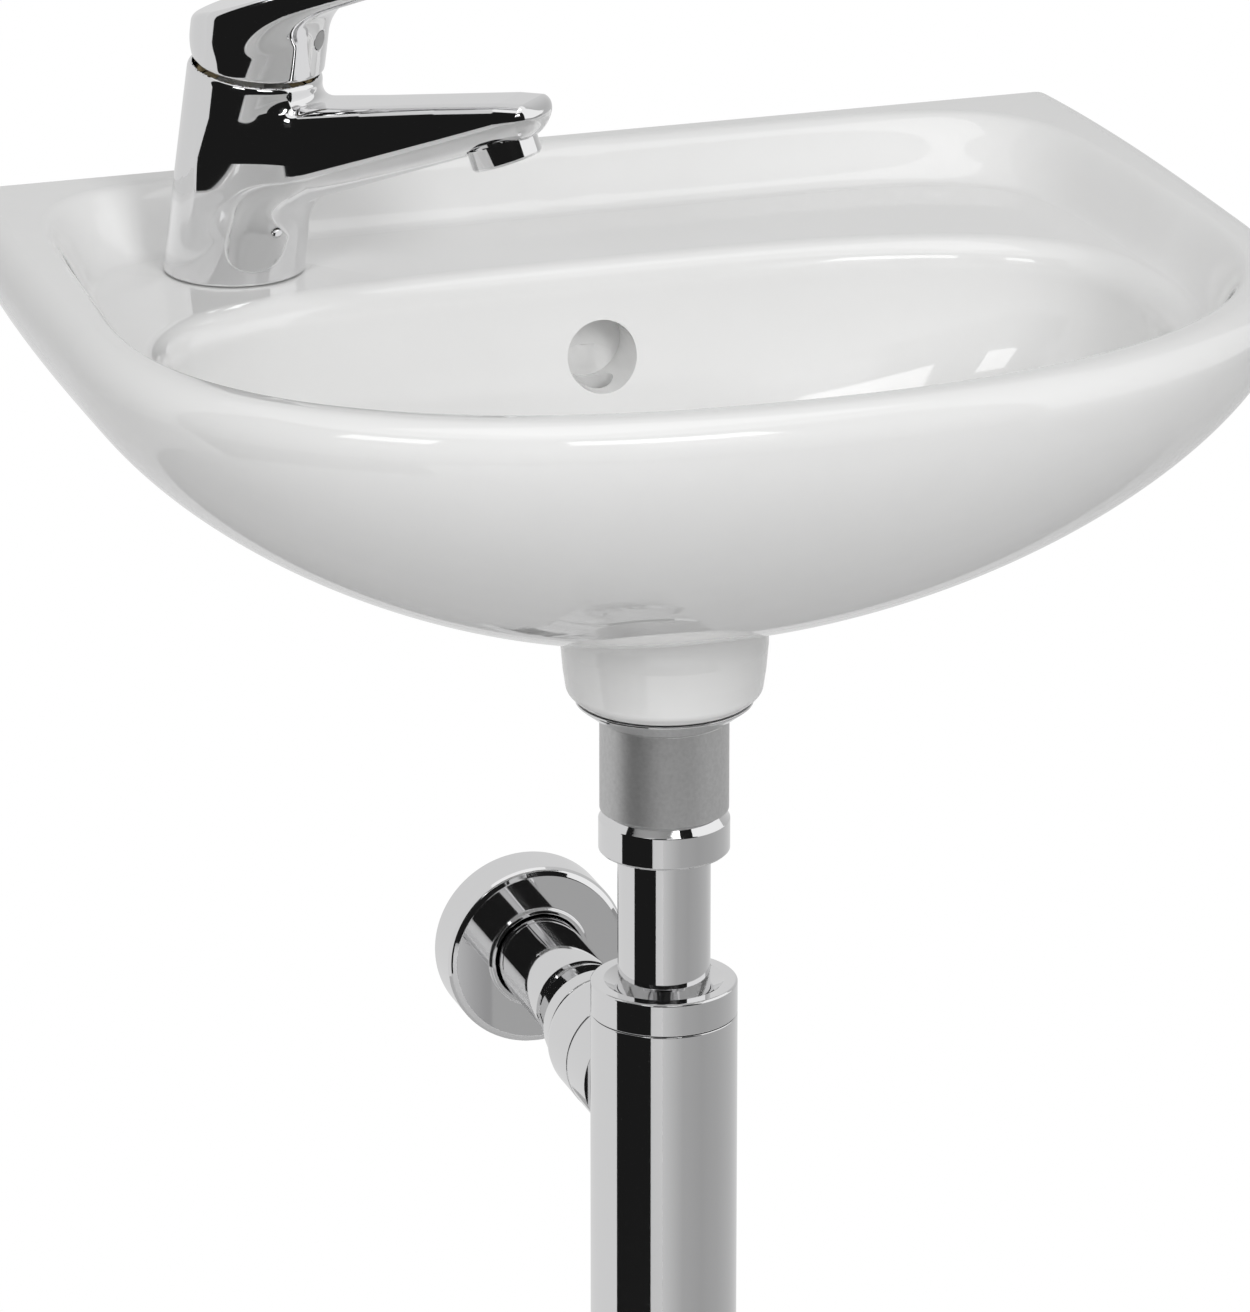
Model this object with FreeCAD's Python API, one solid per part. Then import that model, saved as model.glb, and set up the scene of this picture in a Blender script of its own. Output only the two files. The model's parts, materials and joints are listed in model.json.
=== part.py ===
import FreeCAD, Part
import math
import os

# A wall hung basin with its tap, push-open waste and bottle trap, in millimetres.
# Origin: on the wall, midway between the two fixing holes. +Y points into the wall, +Z is up.

V = FreeCAD.Vector
UP = V(0, 0, 1)
TO_WALL = V(0, 1, 0)
OUTWARD = V(0, -1, 0)

# Basin: driving dimensions
RIM_Z = 76.0             # top of the rim above the fixing holes
DECK_DROP = 20.0         # the deck lies this far below the rim
WASTE_Y = -161.0         # waste axis, out from the wall
HALF_WIDTH = 209.5       # at the widest place
WIDEST_Y = -168.0        # where that is
FRONT_LENGTH = 160.0     # from there to the front edge
BACK_LENGTH = 380.0      # length of the hull form behind it, which the wall plane cuts short
FRONT_POWER, BACK_POWER = 2.3, 2.9     # squareness of the plan's two halves
HULL_DEPTH = 128.0       # rim to the lowest point of the hull
HULL_P, HULL_Q = 1.62, 1.56            # fullness of the belly, along and down
RIM_ROLL = 11.0          # radius of the rim's outer edge
RIM_TOP = 3.0            # nearly flat width on top of the rim
DECK_Z = RIM_Z - DECK_DROP
SLAB = 14.0              # ceramic thickness of the deck
BACK_LIP = 5.0           # width of the raised lip along the wall
LIP_SLOPE = 26.0         # run of its slope down to the deck
BACK_TAPER = 0.045       # the inside narrows by this share towards the wall
DISH_CORNER = 7.0        # squareness of the deck's back corners
BOWL_CORNER = 3.2        # squareness of the bowl's back corners
BOWL_BACK_Y = -81.0      # where the deck turns down into the bowl
BOWL_INSET = 31.0        # the bowl's mouth lies this far inside the outline
BOWL_ROLL = 10.0         # radius of the bowl's mouth
BOWL_FLOOR_Z = -31.0
BOWL_P, BOWL_Q = 2.7, 2.0              # fullness of the bowl, along and down
BOSS_R, BOSS_FOOT_R, BOSS_Z = 35.5, 32.0, -77.0
BOSS_ROOT_Z = -40.0      # the boss is sunk this far up into the belly
WASTE_HOLE_R = 23.5
SEAT_R, SEAT_DEPTH = 33.5, 3.0         # flat seat for the flange in the bowl's floor
OVERFLOW_R, OVERFLOW_Z = 12.5, 24.0
DUCT_R = 7.0             # overflow duct inside the ceramic
HOLE_X, HOLE_R = 70.0, 7.0    # wall fixing holes
PANEL = 14.0                  # thickness of the back panel they pass
BEYOND = 600.0                # side of a block that is larger than the basin

# Tap: driving dimensions
TAP = V(-120.0, -55.0, DECK_Z)
TAP_HOLE_R = 17.5
TAP_R = 23.3
LEAN = 7.5               # degrees, towards the spout
SPOUT_TURN = 45.0        # degrees, from straight out towards +X
BODY_FOOT = 0.5          # the body stands this far above the deck on its seal
BODY_TOP = 74.0          # along the leaning axis
BODY_BORE_R = 18.2       # for the cartridge
BODY_MOUTH_R = 21.6      # for its nut
PIVOT = 84.0             # the lever tilts about this height on the axis
SWING = 12.5             # the spindle leans this far back when the tap is shut
CARTRIDGE_R = 17.5
PIN_R = 1.5
STUD_R, STUD_Y = 3.95, -12.5
INLET_R, INLET_X, INLET_Y = 4.5, 6.5, 3.0      # threaded sockets for the two hoses
WATERWAY_R = 3.0         # from each inlet up to the cartridge
AERATOR_TILT = 20.0
AERATOR_R = 12.2
CAP_R = 23.4             # ball radius of the lever's cap about the pivot
CAP_FOOT_R = 21.7
CAP_INNER_R = 19.5
LEVER_TOP = 91.2         # height of the lever's top plane over the base centre
LEVER_RISE = 20.8        # slope of the lever above level
LEVER_REACH = 108.0

# Waste and trap: driving dimensions
TUBE_R = 16.0            # 1 1/4 inch trap tube
TUBE_WALL = 1.0
WASTE_R = 22.2           # frosted middle of the waste
THREAD_R = 20.9          # its threaded top
WASTE_BORE_R = 19.5
SKIRT_R = 19.4           # flange's skirt, inside the waste
FLANGE_R = 32.5
CAP_EDGE_R = 30.5        # push cap
TAIL_R = 19.6
NUT_R = 22.6
BODY_R = 25.4            # bottle of the trap
CUP_R = 30.5
WASTE_BODY_TOP, WASTE_BODY_FOOT = -84.0, -117.0
NUT_TOP, NUT_FOOT = -117.0, -132.2
COLLAR_TOP, COLLAR_FOOT = -180.0, -192.0
OUTLET_Z = -225.0
TRAP_FOOT = -312.0
CUP_FOOT = -334.0
DIP_FOOT = -286.0
ROSETTE_R, ROSETTE_DEPTH = 33.5, 19.0
INTO_WALL = 30.0         # length of wall tube behind the wall's face

WASTE = V(0, WASTE_Y, 0)
OUTLET = V(0, WASTE_Y, OUTLET_Z)
SEAT_Z = BOWL_FLOOR_Z - SEAT_DEPTH


# ---- shared forms ----

def revolve(points, centre=V(0, 0, 0), axis=UP):
    """Turn a closed (radius, height) outline about the Z axis, then stand it on centre along axis."""
    start = V(points[0][0], 0, points[0][1])
    wire = Part.makePolygon([V(r, 0, z) for r, z in points] + [start])
    solid = Part.Face(wire).revolve(V(0, 0, 0), UP, 360)
    solid.Placement = FreeCAD.Placement(centre, FreeCAD.Rotation(UP, axis))
    return solid


def pipe(r_out, r_in, z0, z1, centre=V(0, 0, 0), axis=UP):
    return revolve([(r_in, z0), (r_out, z0), (r_out, z1), (r_in, z1)], centre, axis)


def rod(r, z0, z1, x=0.0, y=0.0):
    return Part.makeCylinder(r, z1 - z0, V(x, y, z0), UP)


def rod_between(r, a, b):
    return Part.makeCylinder(r, (b - a).Length, a, b - a)


def loft(wires, ruled=False):
    return Part.makeLoft(wires, True, ruled)


def closed_curve(points):
    curve = Part.BSplineCurve()
    curve.interpolate(Points=points, PeriodicFlag=True)
    return Part.Wire([curve.toShape()])


def rounded_wire(u0, u1, v0, v1, r, place):
    """A rectangle with round corners; place(u, v) puts its points into space."""
    corners = [(u1 - r, v1 - r, 0), (u0 + r, v1 - r, 90), (u0 + r, v0 + r, 180), (u1 - r, v0 + r, 270)]
    arcs = []
    for cu, cv, start in corners:
        turns = [math.radians(start + step) for step in (0, 45, 90)]
        arcs.append([place(cu + r * math.cos(t), cv + r * math.sin(t)) for t in turns])
    edges = []
    for i, arc in enumerate(arcs):
        edges.append(Part.Arc(*arc).toShape())
        edges.append(Part.makeLine(arc[2], arcs[(i + 1) % 4][0]))
    return Part.Wire(edges)


def power(c, p):
    """Signed power of a cosine or sine: the coordinate of a superellipse of squareness p."""
    return math.copysign(abs(c) ** (2.0 / p), c)


# ---- basin ----

RING_POINTS = 36
ANGLES = [2 * math.pi * i / RING_POINTS for i in range(RING_POINTS)]


def hull_plan(angle):
    """The hull's plan: two half superellipses that meet at the widest place."""
    c, s = math.cos(angle), math.sin(angle)
    squareness = FRONT_POWER if s >= 0 else BACK_POWER
    length = FRONT_LENGTH if s >= 0 else BACK_LENGTH
    return HALF_WIDTH * power(c, squareness), WIDEST_Y - length * power(s, squareness)


def hull_ring(z, scale, inset=0.0):
    """The plan drawn in towards the waste axis, by a share and by an inset."""
    points = []
    for angle in ANGLES:
        x, y = hull_plan(angle)
        dy = y - WASTE_Y
        length = math.hypot(x, dy)
        k = scale * (length - inset) / length
        points.append(V(x * k, WASTE_Y + dy * k, z))
    return closed_curve(points)


def hull():
    """The outside: rolled rim edge, then a belly that shrinks towards the waste axis."""
    rings = []
    for turn in (90, 60, 30):
        a = math.radians(turn)
        z = RIM_Z - RIM_ROLL * (1 - math.sin(a))
        rings.append(hull_ring(z, 1.0, RIM_ROLL * (1 - math.cos(a))))
    depth = HULL_DEPTH - RIM_ROLL
    for turn in (0, 14, 28, 42, 56, 68, 77, 82):
        a = math.radians(turn)
        z = RIM_Z - RIM_ROLL - depth * math.sin(a) ** (2.0 / HULL_Q)
        rings.append(hull_ring(z, math.cos(a) ** (2.0 / HULL_P)))
    return loft(rings)


def inner_ring(z, inset, back_y, squareness, scale=1.0):
    """A plan curve inside the rim: the front follows the outline, the back runs along the wall."""
    points = []
    for angle in ANGLES:
        c, s = math.cos(angle), math.sin(angle)
        half = HALF_WIDTH - inset
        if s >= 0:
            x = half * power(c, FRONT_POWER)
            y = WIDEST_Y - (FRONT_LENGTH - inset) * power(s, FRONT_POWER)
        else:
            y = WIDEST_Y - (back_y - WIDEST_Y) * power(s, squareness)
            narrowing = 1 - BACK_TAPER * (y - WIDEST_Y) / -WIDEST_Y
            x = half * narrowing * power(c, squareness)
        points.append(V(x * scale, WASTE_Y + (y - WASTE_Y) * scale, z))
    return closed_curve(points)


def dish():
    """What is cut from the top: an S-shaped slope from the rim and the back lip to the deck."""
    rings = []
    start = RIM_ROLL + RIM_TOP
    for u in (0.0, 0.2, 0.4, 0.6, 0.8, 1.0):
        drop = DECK_DROP * (1 - math.cos(math.pi * u)) / 2
        inset = start + (BOWL_INSET - start - 1) * u
        rings.append(inner_ring(RIM_Z - drop, inset, -BACK_LIP - LIP_SLOPE * u, DISH_CORNER))
    clear = inner_ring(RIM_Z + 6, start - 2, -BACK_LIP + 2, DISH_CORNER)
    return loft(rings).fuse(loft([clear, rings[0]], True))


def bowl():
    """What is cut for the bowl: a rolled mouth, steep walls and a floor round the waste."""
    rings = []
    inset, back_y = BOWL_INSET + BOWL_ROLL, BOWL_BACK_Y - BOWL_ROLL
    for turn in (0, 30, 60, 90):
        a = math.radians(turn)
        grow = BOWL_ROLL * (1 - math.sin(a))
        z = DECK_Z - BOWL_ROLL * (1 - math.cos(a))
        rings.append(inner_ring(z, inset - grow, back_y + grow, BOWL_CORNER))
    deep = DECK_Z - BOWL_ROLL - BOWL_FLOOR_Z
    for turn in (22, 40, 56, 70, 80):
        a = math.radians(turn)
        z = DECK_Z - BOWL_ROLL - deep * math.sin(a) ** (2.0 / BOWL_Q)
        rings.append(inner_ring(z, inset, back_y, BOWL_CORNER, math.cos(a) ** (2.0 / BOWL_P)))
    return loft(rings)


def back_pocket(side):
    """One of the two hollows behind the bowl, open below, that give room for the tap's nut."""
    ceiling = DECK_Z - SLAB
    top = rounded_wire(28, 160, -84, -PANEL, 12, lambda x, y: V(x, y, ceiling))
    foot = rounded_wire(30, 118, -80, -PANEL, 12, lambda x, y: V(x, y, -70))
    pocket = loft([foot, top], True)
    return pocket if side > 0 else pocket.mirror(V(0, 0, 0), V(1, 0, 0))


def overflow():
    """The overflow hole, its chamber and the duct down to the waste hole."""
    hole = Part.makeCylinder(OVERFLOW_R, 46, V(0, -120, OVERFLOW_Z), TO_WALL)
    head, bend, end = V(0, -80, OVERFLOW_Z), V(0, -92, -29), V(0, -148, -45)
    duct = Part.makeSphere(DUCT_R, bend)
    duct = duct.fuse(rod_between(DUCT_R, head, bend))
    duct = duct.fuse(rod_between(DUCT_R, bend, end))
    return hole.fuse(duct)


def basin():
    """One piece of glazed ceramic."""
    boss = revolve([(0, BOSS_Z), (BOSS_FOOT_R - 5, BOSS_Z), (BOSS_FOOT_R, BOSS_Z + 4),
                    (BOSS_FOOT_R + 1.4, BOSS_Z + 10), (BOSS_R, BOSS_Z + 26), (BOSS_R, BOSS_ROOT_Z),
                    (0, BOSS_ROOT_Z)], WASTE)
    body = hull().fuse(boss)
    body = body.cut(Part.makeBox(BEYOND, BEYOND, BEYOND, V(-BEYOND / 2, 0, -BEYOND / 2)))
    body = body.cut(dish()).cut(bowl())
    body = body.cut(rod(WASTE_HOLE_R, BOSS_Z - 5, 0, 0, WASTE_Y))
    body = body.cut(rod(SEAT_R, SEAT_Z, BOWL_FLOOR_Z + 12, 0, WASTE_Y))
    for side in (1, -1):
        body = body.cut(back_pocket(side))
        body = body.cut(Part.makeCylinder(HOLE_R, 40, V(side * HOLE_X, -30, 0), TO_WALL))
    body = body.cut(rod(TAP_HOLE_R, 0, DECK_Z + 10, TAP.x, TAP.y))
    return body.cut(overflow())


def wall_bushes():
    """Two flanged nylon bushes for the wall bolts."""
    bolt_r, flange_r, flange = 5.25, 11.0, 2.0
    seat = PANEL + 0.05
    bushes = []
    for side in (-1, 1):
        outline = [(bolt_r, 0), (HOLE_R - 0.05, 0), (HOLE_R - 0.05, seat), (flange_r, seat),
                   (flange_r, PANEL + flange), (bolt_r, PANEL + flange)]
        bushes.append(revolve(outline, V(side * HOLE_X, 0, 0), OUTWARD))
    return Part.makeCompound(bushes)


# ---- waste ----

PLUG_LIFT = 8.0
CAGE_Z = SEAT_Z - 11.0   # foot of the plug's guide
HUB_R = 6.5
STEM_R = 4.0
PLUG_Z = SEAT_Z + 4.2 + PLUG_LIFT
SPRING_R, SPRING_WIRE_R, SPRING_HEIGHT = 5.6, 0.5, 13.3
SPRING_Z = SEAT_Z - 2.4
SPRING_TURNS, SPRING_STEPS = 4.25, 42


def waste_flange():
    """Chrome ring on the bowl's floor with a skirt that screws into the waste body."""
    bore = 17.0
    return revolve([(bore, -12), (SKIRT_R, -12), (SKIRT_R, 1.2), (FLANGE_R - 1.5, 1.2), (FLANGE_R, 2.0),
                    (FLANGE_R - 0.5, 3.2), (26.0, 4.0), (18.5, 2.6), (bore, 0.5)], WASTE + V(0, 0, SEAT_Z))


def flange_seal():
    return pipe(FLANGE_R - 1.5, 20.0, 0, 1.1, WASTE + V(0, 0, SEAT_Z))


def waste_body():
    """Frosted tube: threaded top inside the boss with four overflow windows, wide middle, tail below."""
    top = SEAT_Z - 1.5
    foot = NUT_FOOT + 6
    tail_bore = 17.2
    tube = revolve([(WASTE_BORE_R, top), (THREAD_R, top), (THREAD_R, WASTE_BODY_TOP),
                    (WASTE_R, WASTE_BODY_TOP), (WASTE_R, WASTE_BODY_FOOT), (TAIL_R, WASTE_BODY_FOOT),
                    (TAIL_R, foot), (tail_bore, foot), (tail_bore, -60), (WASTE_BORE_R, -57)], WASTE)
    width, height = 9.0, 12.0
    window = Part.makeBox(60, width, height, WASTE + V(-30, -width / 2, -54))
    cross = window.copy()
    cross.rotate(WASTE, UP, 90)
    return tube.cut(window.fuse(cross))


def plug_cage():
    """Three ribs and a hub inside the flange's skirt that guide the plug's stem."""
    foot = WASTE + V(0, 0, CAGE_Z)
    cage = pipe(16.9, 15.4, 0, 10, foot).fuse(pipe(HUB_R, STEM_R + 0.05, -6, 8, foot))
    for i in range(3):
        rib = Part.makeBox(10.2, 2.0, 8, foot + V(HUB_R - 0.9, -1.0, 0))
        rib.rotate(WASTE, UP, 120 * i + 30)
        cage = cage.fuse(rib)
    return cage


def plug_stem():
    """Stem with a stop collar under the hub and a spigot for the cap."""
    spigot = 3.2
    return revolve([(0, -26), (3.0, -26), (3.0, -19), (5.5, -19), (5.5, -17.3), (STEM_R, -17.3),
                    (STEM_R, 11.6), (spigot, 11.6), (spigot, 15.9), (0, 15.9)], WASTE + V(0, 0, SEAT_Z))


def plug_cap():
    """Domed push cap, drawn at rest in its raised place."""
    socket = 3.25
    return revolve([(socket, -0.5), (6.5, -0.5), (6.5, 1.5), (24.0, 1.5), (24.0, 0.2), (CAP_EDGE_R - 2, 0.2),
                    (CAP_EDGE_R, 1.6), (CAP_EDGE_R - 0.5, 3.0), (24.0, 4.8), (14.0, 6.2), (0, 6.8), (0, 4.0),
                    (socket, 4.0)], WASTE + V(0, 0, PLUG_Z))


def plug_seal():
    return pipe(23.9, 18.0, -0.1, 1.45, WASTE + V(0, 0, PLUG_Z))


def plug_spring():
    """Return spring between the hub and the cap: a helix of straight short lengths of hexagonal wire."""
    sections = []
    turned = 2 * math.pi * SPRING_TURNS
    for i in range(SPRING_STEPS + 1):
        share = i / SPRING_STEPS
        angle = turned * share
        outward = V(math.cos(angle), math.sin(angle), 0)
        along = V(-SPRING_R * math.sin(angle), SPRING_R * math.cos(angle), SPRING_HEIGHT / turned).normalize()
        across = along.cross(outward)
        centre = WASTE + outward * SPRING_R + V(0, 0, SPRING_Z + SPRING_HEIGHT * share)
        ring = []
        for corner in range(7):
            turn = math.radians(60 * corner + 30)
            ring.append(centre + (outward * math.cos(turn) + across * math.sin(turn)) * SPRING_WIRE_R)
        sections.append(Part.makePolygon(ring))
    return loft(sections, True)


def lower_seal():
    """Rubber cone washer that seals the boss from below."""
    bore = THREAD_R + 0.2
    top = BOSS_Z - 0.1
    return revolve([(bore, top), (27.0, top), (27.7, top - 1.8), (bore, top - 5.1)], WASTE)


def waste_cup():
    """Dished chrome ring nut that presses the seal up against the boss."""
    bore = THREAD_R + 0.1
    return revolve([(bore, -83.9), (22.4, -83.9), (24.5, -82.6), (CUP_R - 0.8, -78.6), (CUP_R, -77.9),
                    (CUP_R, -77.3), (CUP_R - 1.6, -77.3), (28.7, -78.9), (bore, -82.6)], WASTE)


# ---- bottle trap ----

DIP_FLANGE_R = TAIL_R - 0.4
NECK_R, NECK_BORE_R = 22.0, 18.9
BOTTLE_BORE_R = BODY_R - 1.5
SCREW_R, SCREW_BORE_R = 23.2, 21.6       # threaded foot of the bottle
OUTLET_R = 22.5
OUTLET_THREAD_R = 20.2


def inlet_nut():
    """Plain round chrome nut with a bevelled shoulder; its foot lip holds the dip tube's flange."""
    lip, bore = TUBE_R + 0.4, TAIL_R + 0.1
    return revolve([(lip, NUT_FOOT), (NUT_R - 0.8, NUT_FOOT), (NUT_R, NUT_FOOT + 0.8), (NUT_R, NUT_TOP - 3.6),
                    (NUT_R - 0.5, NUT_TOP - 2.9), (20.2, NUT_TOP - 0.2), (bore, NUT_TOP - 0.2),
                    (bore, NUT_FOOT + 1.6), (lip, NUT_FOOT + 1.6)], WASTE)


def inlet_washer():
    return pipe(TAIL_R - 0.2, TUBE_R + 0.4, NUT_FOOT + 3.4, NUT_FOOT + 5.9, WASTE)


def dip_tube():
    """Inlet tube with a rolled flange at the top; its end dips into the water in the trap."""
    bore = TUBE_R - TUBE_WALL
    flange, top = NUT_FOOT + 1.8, NUT_FOOT + 3.2
    return revolve([(bore, DIP_FOOT), (TUBE_R, DIP_FOOT), (TUBE_R, flange), (DIP_FLANGE_R, flange),
                    (DIP_FLANGE_R, top), (bore, top)], WASTE)


def trap_collar():
    """Ring nut with a bevelled recess round the tube."""
    bore, thread = TUBE_R + 0.15, NECK_R + 0.3
    foot = COLLAR_FOOT + 0.3
    return revolve([(bore, COLLAR_TOP - 5), (bore, COLLAR_TOP - 3.2), (BODY_R - 5.4, COLLAR_TOP - 0.6),
                    (BODY_R - 4.6, COLLAR_TOP), (BODY_R - 0.6, COLLAR_TOP), (BODY_R, COLLAR_TOP - 0.6),
                    (BODY_R, foot), (thread, foot), (thread, COLLAR_TOP - 5)], WASTE)


def collar_seal():
    return pipe(NECK_R + 0.1, TUBE_R + 0.05, COLLAR_TOP - 8.6, COLLAR_TOP - 5.1, WASTE)


def trap_body():
    """Bottle of the trap: threaded neck for the collar, side outlet towards the wall, threaded foot."""
    neck = COLLAR_TOP - 8.8
    shell = revolve([(NECK_BORE_R, neck), (NECK_R, neck), (NECK_R, COLLAR_FOOT), (BODY_R, COLLAR_FOOT),
                     (BODY_R, TRAP_FOOT), (SCREW_R, TRAP_FOOT), (SCREW_R, TRAP_FOOT - 9),
                     (SCREW_BORE_R, TRAP_FOOT - 9), (SCREW_BORE_R, TRAP_FOOT + 3), (BOTTLE_BORE_R, TRAP_FOOT + 6),
                     (BOTTLE_BORE_R, COLLAR_FOOT - 4), (NECK_BORE_R, COLLAR_FOOT - 1)], WASTE)
    spout = revolve([(0, 0), (OUTLET_R, 0), (OUTLET_R, 39.6), (OUTLET_THREAD_R, 39.6), (OUTLET_THREAD_R, 55),
                     (0, 55)], OUTLET, TO_WALL)
    inside = rod(BOTTLE_BORE_R, TRAP_FOOT + 6, COLLAR_FOOT - 4, 0, WASTE_Y)
    bore = Part.makeCylinder(TUBE_R + 0.2, 60, OUTLET, TO_WALL)
    return shell.fuse(spout.cut(inside)).cut(bore)


def outlet_nut():
    """Chrome nut on the trap's outlet: a cylinder whose far end rounds over and closes on the pipe."""
    thread, bore = OUTLET_THREAD_R + 0.1, 17.4
    return revolve([(thread, 40), (NUT_R, 40), (NUT_R, 60), (NUT_R - 0.4, 62.5), (NUT_R - 1.6, 65),
                    (bore, 66.5), (bore, 61.5), (thread, 58.5)], OUTLET, TO_WALL)


def outlet_cone():
    """Tapered sleeve that guides the wall tube into the nut."""
    bore = TUBE_R + 0.1
    return revolve([(bore, 66.9), (20.3, 66.9), (19.4, 76), (17.6, 86), (16.9, 92), (bore, 94)],
                   OUTLET, TO_WALL)


def outlet_seal():
    bore = TUBE_R + 0.05
    return revolve([(bore, 55.2), (20.0, 55.2), (20.1, 58.2), (17.2, 61.2), (bore, 61.2)], OUTLET, TO_WALL)


def wall_tube():
    """Straight tube from the trap; its end in the wall is drawn in a little for the drain's rubber seal."""
    wall, end = -WASTE_Y, -WASTE_Y + INTO_WALL
    bore, drawn = TUBE_R - TUBE_WALL, TUBE_R - 0.2
    return revolve([(bore, 30), (TUBE_R, 30), (TUBE_R, wall), (drawn, wall + 1), (drawn, end - 1),
                    (drawn - 0.4, end), (bore, end)], OUTLET, TO_WALL)


def rosette():
    """Hollow polished cover disc on the wall with a lipped collar round the tube."""
    rim = -WASTE_Y - 0.3
    face = -WASTE_Y - ROSETTE_DEPTH
    bore, shell = TUBE_R + 0.4, ROSETTE_R - 1.2
    return revolve([(ROSETTE_R, rim), (ROSETTE_R, face + 2.5), (ROSETTE_R - 0.8, face + 0.8),
                    (ROSETTE_R - 2.6, face), (18.6, face), (18.2, face - 1.6), (16.9, face - 1.6),
                    (bore, face - 0.9), (bore, face + 6.0), (17.6, face + 6.0), (17.6, face + 1.2),
                    (ROSETTE_R - 3.0, face + 1.2), (shell, face + 3.0), (shell, rim)], OUTLET, TO_WALL)


def rosette_ring():
    """Rubber ring that grips the tube inside the rosette's collar."""
    face = -WASTE_Y - ROSETTE_DEPTH
    return pipe(17.5, TUBE_R + 0.05, face + 6.2, face + 9.2, OUTLET, TO_WALL)


def trap_cup():
    """Cleaning cup: polished, screwed on the foot of the trap, with a grip groove and a domed base."""
    groove, thread = BODY_R - 0.8, SCREW_R + 0.35
    top = TRAP_FOOT - 0.35
    return revolve([(0, CUP_FOOT), (14, CUP_FOOT + 0.5), (21, CUP_FOOT + 2.2), (BODY_R - 1.2, CUP_FOOT + 5),
                    (BODY_R, CUP_FOOT + 8), (BODY_R, TRAP_FOOT - 4.5), (groove, TRAP_FOOT - 4),
                    (groove, TRAP_FOOT - 3), (BODY_R, TRAP_FOOT - 2.5), (BODY_R, top), (thread, top),
                    (thread, TRAP_FOOT - 11), (20, CUP_FOOT + 6), (0, CUP_FOOT + 3)], WASTE)


def cup_seal():
    return pipe(SCREW_R, SCREW_BORE_R + 0.2, TRAP_FOOT - 10.6, TRAP_FOOT - 9.1, WASTE)


# ---- tap: everything is drawn upright round its own axis, spout towards +X, then leaned and placed ----

def tilt(shape, angle=LEAN, centre=V(0, 0, 0)):
    """Turn towards +X about a level line across the spout."""
    shape.rotate(centre, V(0, 1, 0), angle)
    return shape


def stand(shape):
    """Turn to the spout's direction and stand on the deck."""
    shape.rotate(V(0, 0, 0), UP, SPOUT_TURN - 90)
    shape.translate(TAP)
    return shape


def lean(shape):
    return stand(tilt(shape))


def section(x, low, high, width):
    """A rounded rectangle across the spout or the lever at x."""
    half = width / 2
    r = min(half, (high - low) / 2) * 0.72
    return rounded_wire(-half, half, low, high, r, lambda y, z: V(x, y, z))


# Spout stations: distance from the axis, underside, top and width
SPOUT = [(4, 24, 62, 36), (30, 29.5, 62.5, 32), (56, 39, 66.5, 27.5), (84, 49.5, 70.8, 25.5),
         (106, 58.0, 74.0, 25.5), (115, 61.5, 74.6, 24.5), (119.5, 65.0, 73.0, 20)]
AERATOR_AXIS = V(math.sin(math.radians(AERATOR_TILT)), 0, -math.cos(math.radians(AERATOR_TILT)))
AERATOR_TOP = V(102.6, 0, 61.0)
AERATOR_SOCKET_R = 10.7


def water_tools():
    """The hollows of the body: cartridge bore, way to the aerator, its socket and the two inlets."""
    can = tilt(rod(BODY_MOUTH_R, 62, BODY_TOP + 30).fuse(rod(BODY_BORE_R, 26, 63)))
    channel = rod_between(6.5, V(16, 0, 46), AERATOR_TOP + V(-0.9, 0, -0.2))
    socket = Part.makeCylinder(AERATOR_SOCKET_R, 12, AERATOR_TOP - AERATOR_AXIS * 3.5, AERATOR_AXIS)
    mouth = Part.makeCylinder(AERATOR_R + 0.4, 20, AERATOR_TOP + AERATOR_AXIS * 2.2, AERATOR_AXIS)
    tools = [can, channel, socket, mouth]
    for x in (-INLET_X, INLET_X):
        tools += [rod(INLET_R, -2, 24, x, INLET_Y), rod(WATERWAY_R, 20, 34, x, INLET_Y)]
    return tools


def tap_body():
    """Cast body: leaning cylinder on a level base with the tapering spout, bored for cartridge and water."""
    column = tilt(revolve([(0, -12), (TAP_R, -12), (TAP_R, BODY_TOP - 1.2), (TAP_R - 0.4, BODY_TOP - 0.3),
                           (TAP_R - 1.1, BODY_TOP), (0, BODY_TOP)]))
    body = column.fuse(loft([section(*station) for station in SPOUT]))
    body = body.cut(Part.makeBox(100, 100, 60, V(-50, -50, BODY_FOOT - 60)))
    for tool in water_tools():
        body = body.cut(tool)
    body = body.cut(rod(STUD_R + 0.05, -2, 14, 0, STUD_Y))
    seal_groove = pipe(21.6, 19.4, 0, 2.3)
    return stand(body.cut(seal_groove))


def tap_base_seal():
    return stand(pipe(21.5, 19.5, 0.02, 2.2))


def tap_stud():
    """Threaded stud from the body's base down through the deck."""
    return stand(rod(STUD_R, -SLAB - 48, 13.9, 0, STUD_Y))


def horseshoe(outer, z0, z1):
    """A plate under the deck, open on one side for the two hoses and bored for the stud."""
    slot_r = INLET_X + INLET_R + 0.5
    plate = rod(outer, z0, z1)
    slot = rod(slot_r, z0 - 1, z1 + 1, 0, INLET_Y + 2)
    open_side = Part.makeBox(2 * slot_r, 30, z1 - z0 + 2, V(-slot_r, INLET_Y + 2, z0 - 1))
    stud_hole = rod(STUD_R + 0.25, z0 - 1, z1 + 1, 0, STUD_Y)
    return stand(plate.cut(slot.fuse(open_side)).cut(stud_hole))


def tap_horseshoe_seal():
    return horseshoe(20.5, -SLAB - 2.6, -SLAB - 0.05)


def tap_horseshoe():
    return horseshoe(21.5, -SLAB - 5.2, -SLAB - 2.7)


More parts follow.
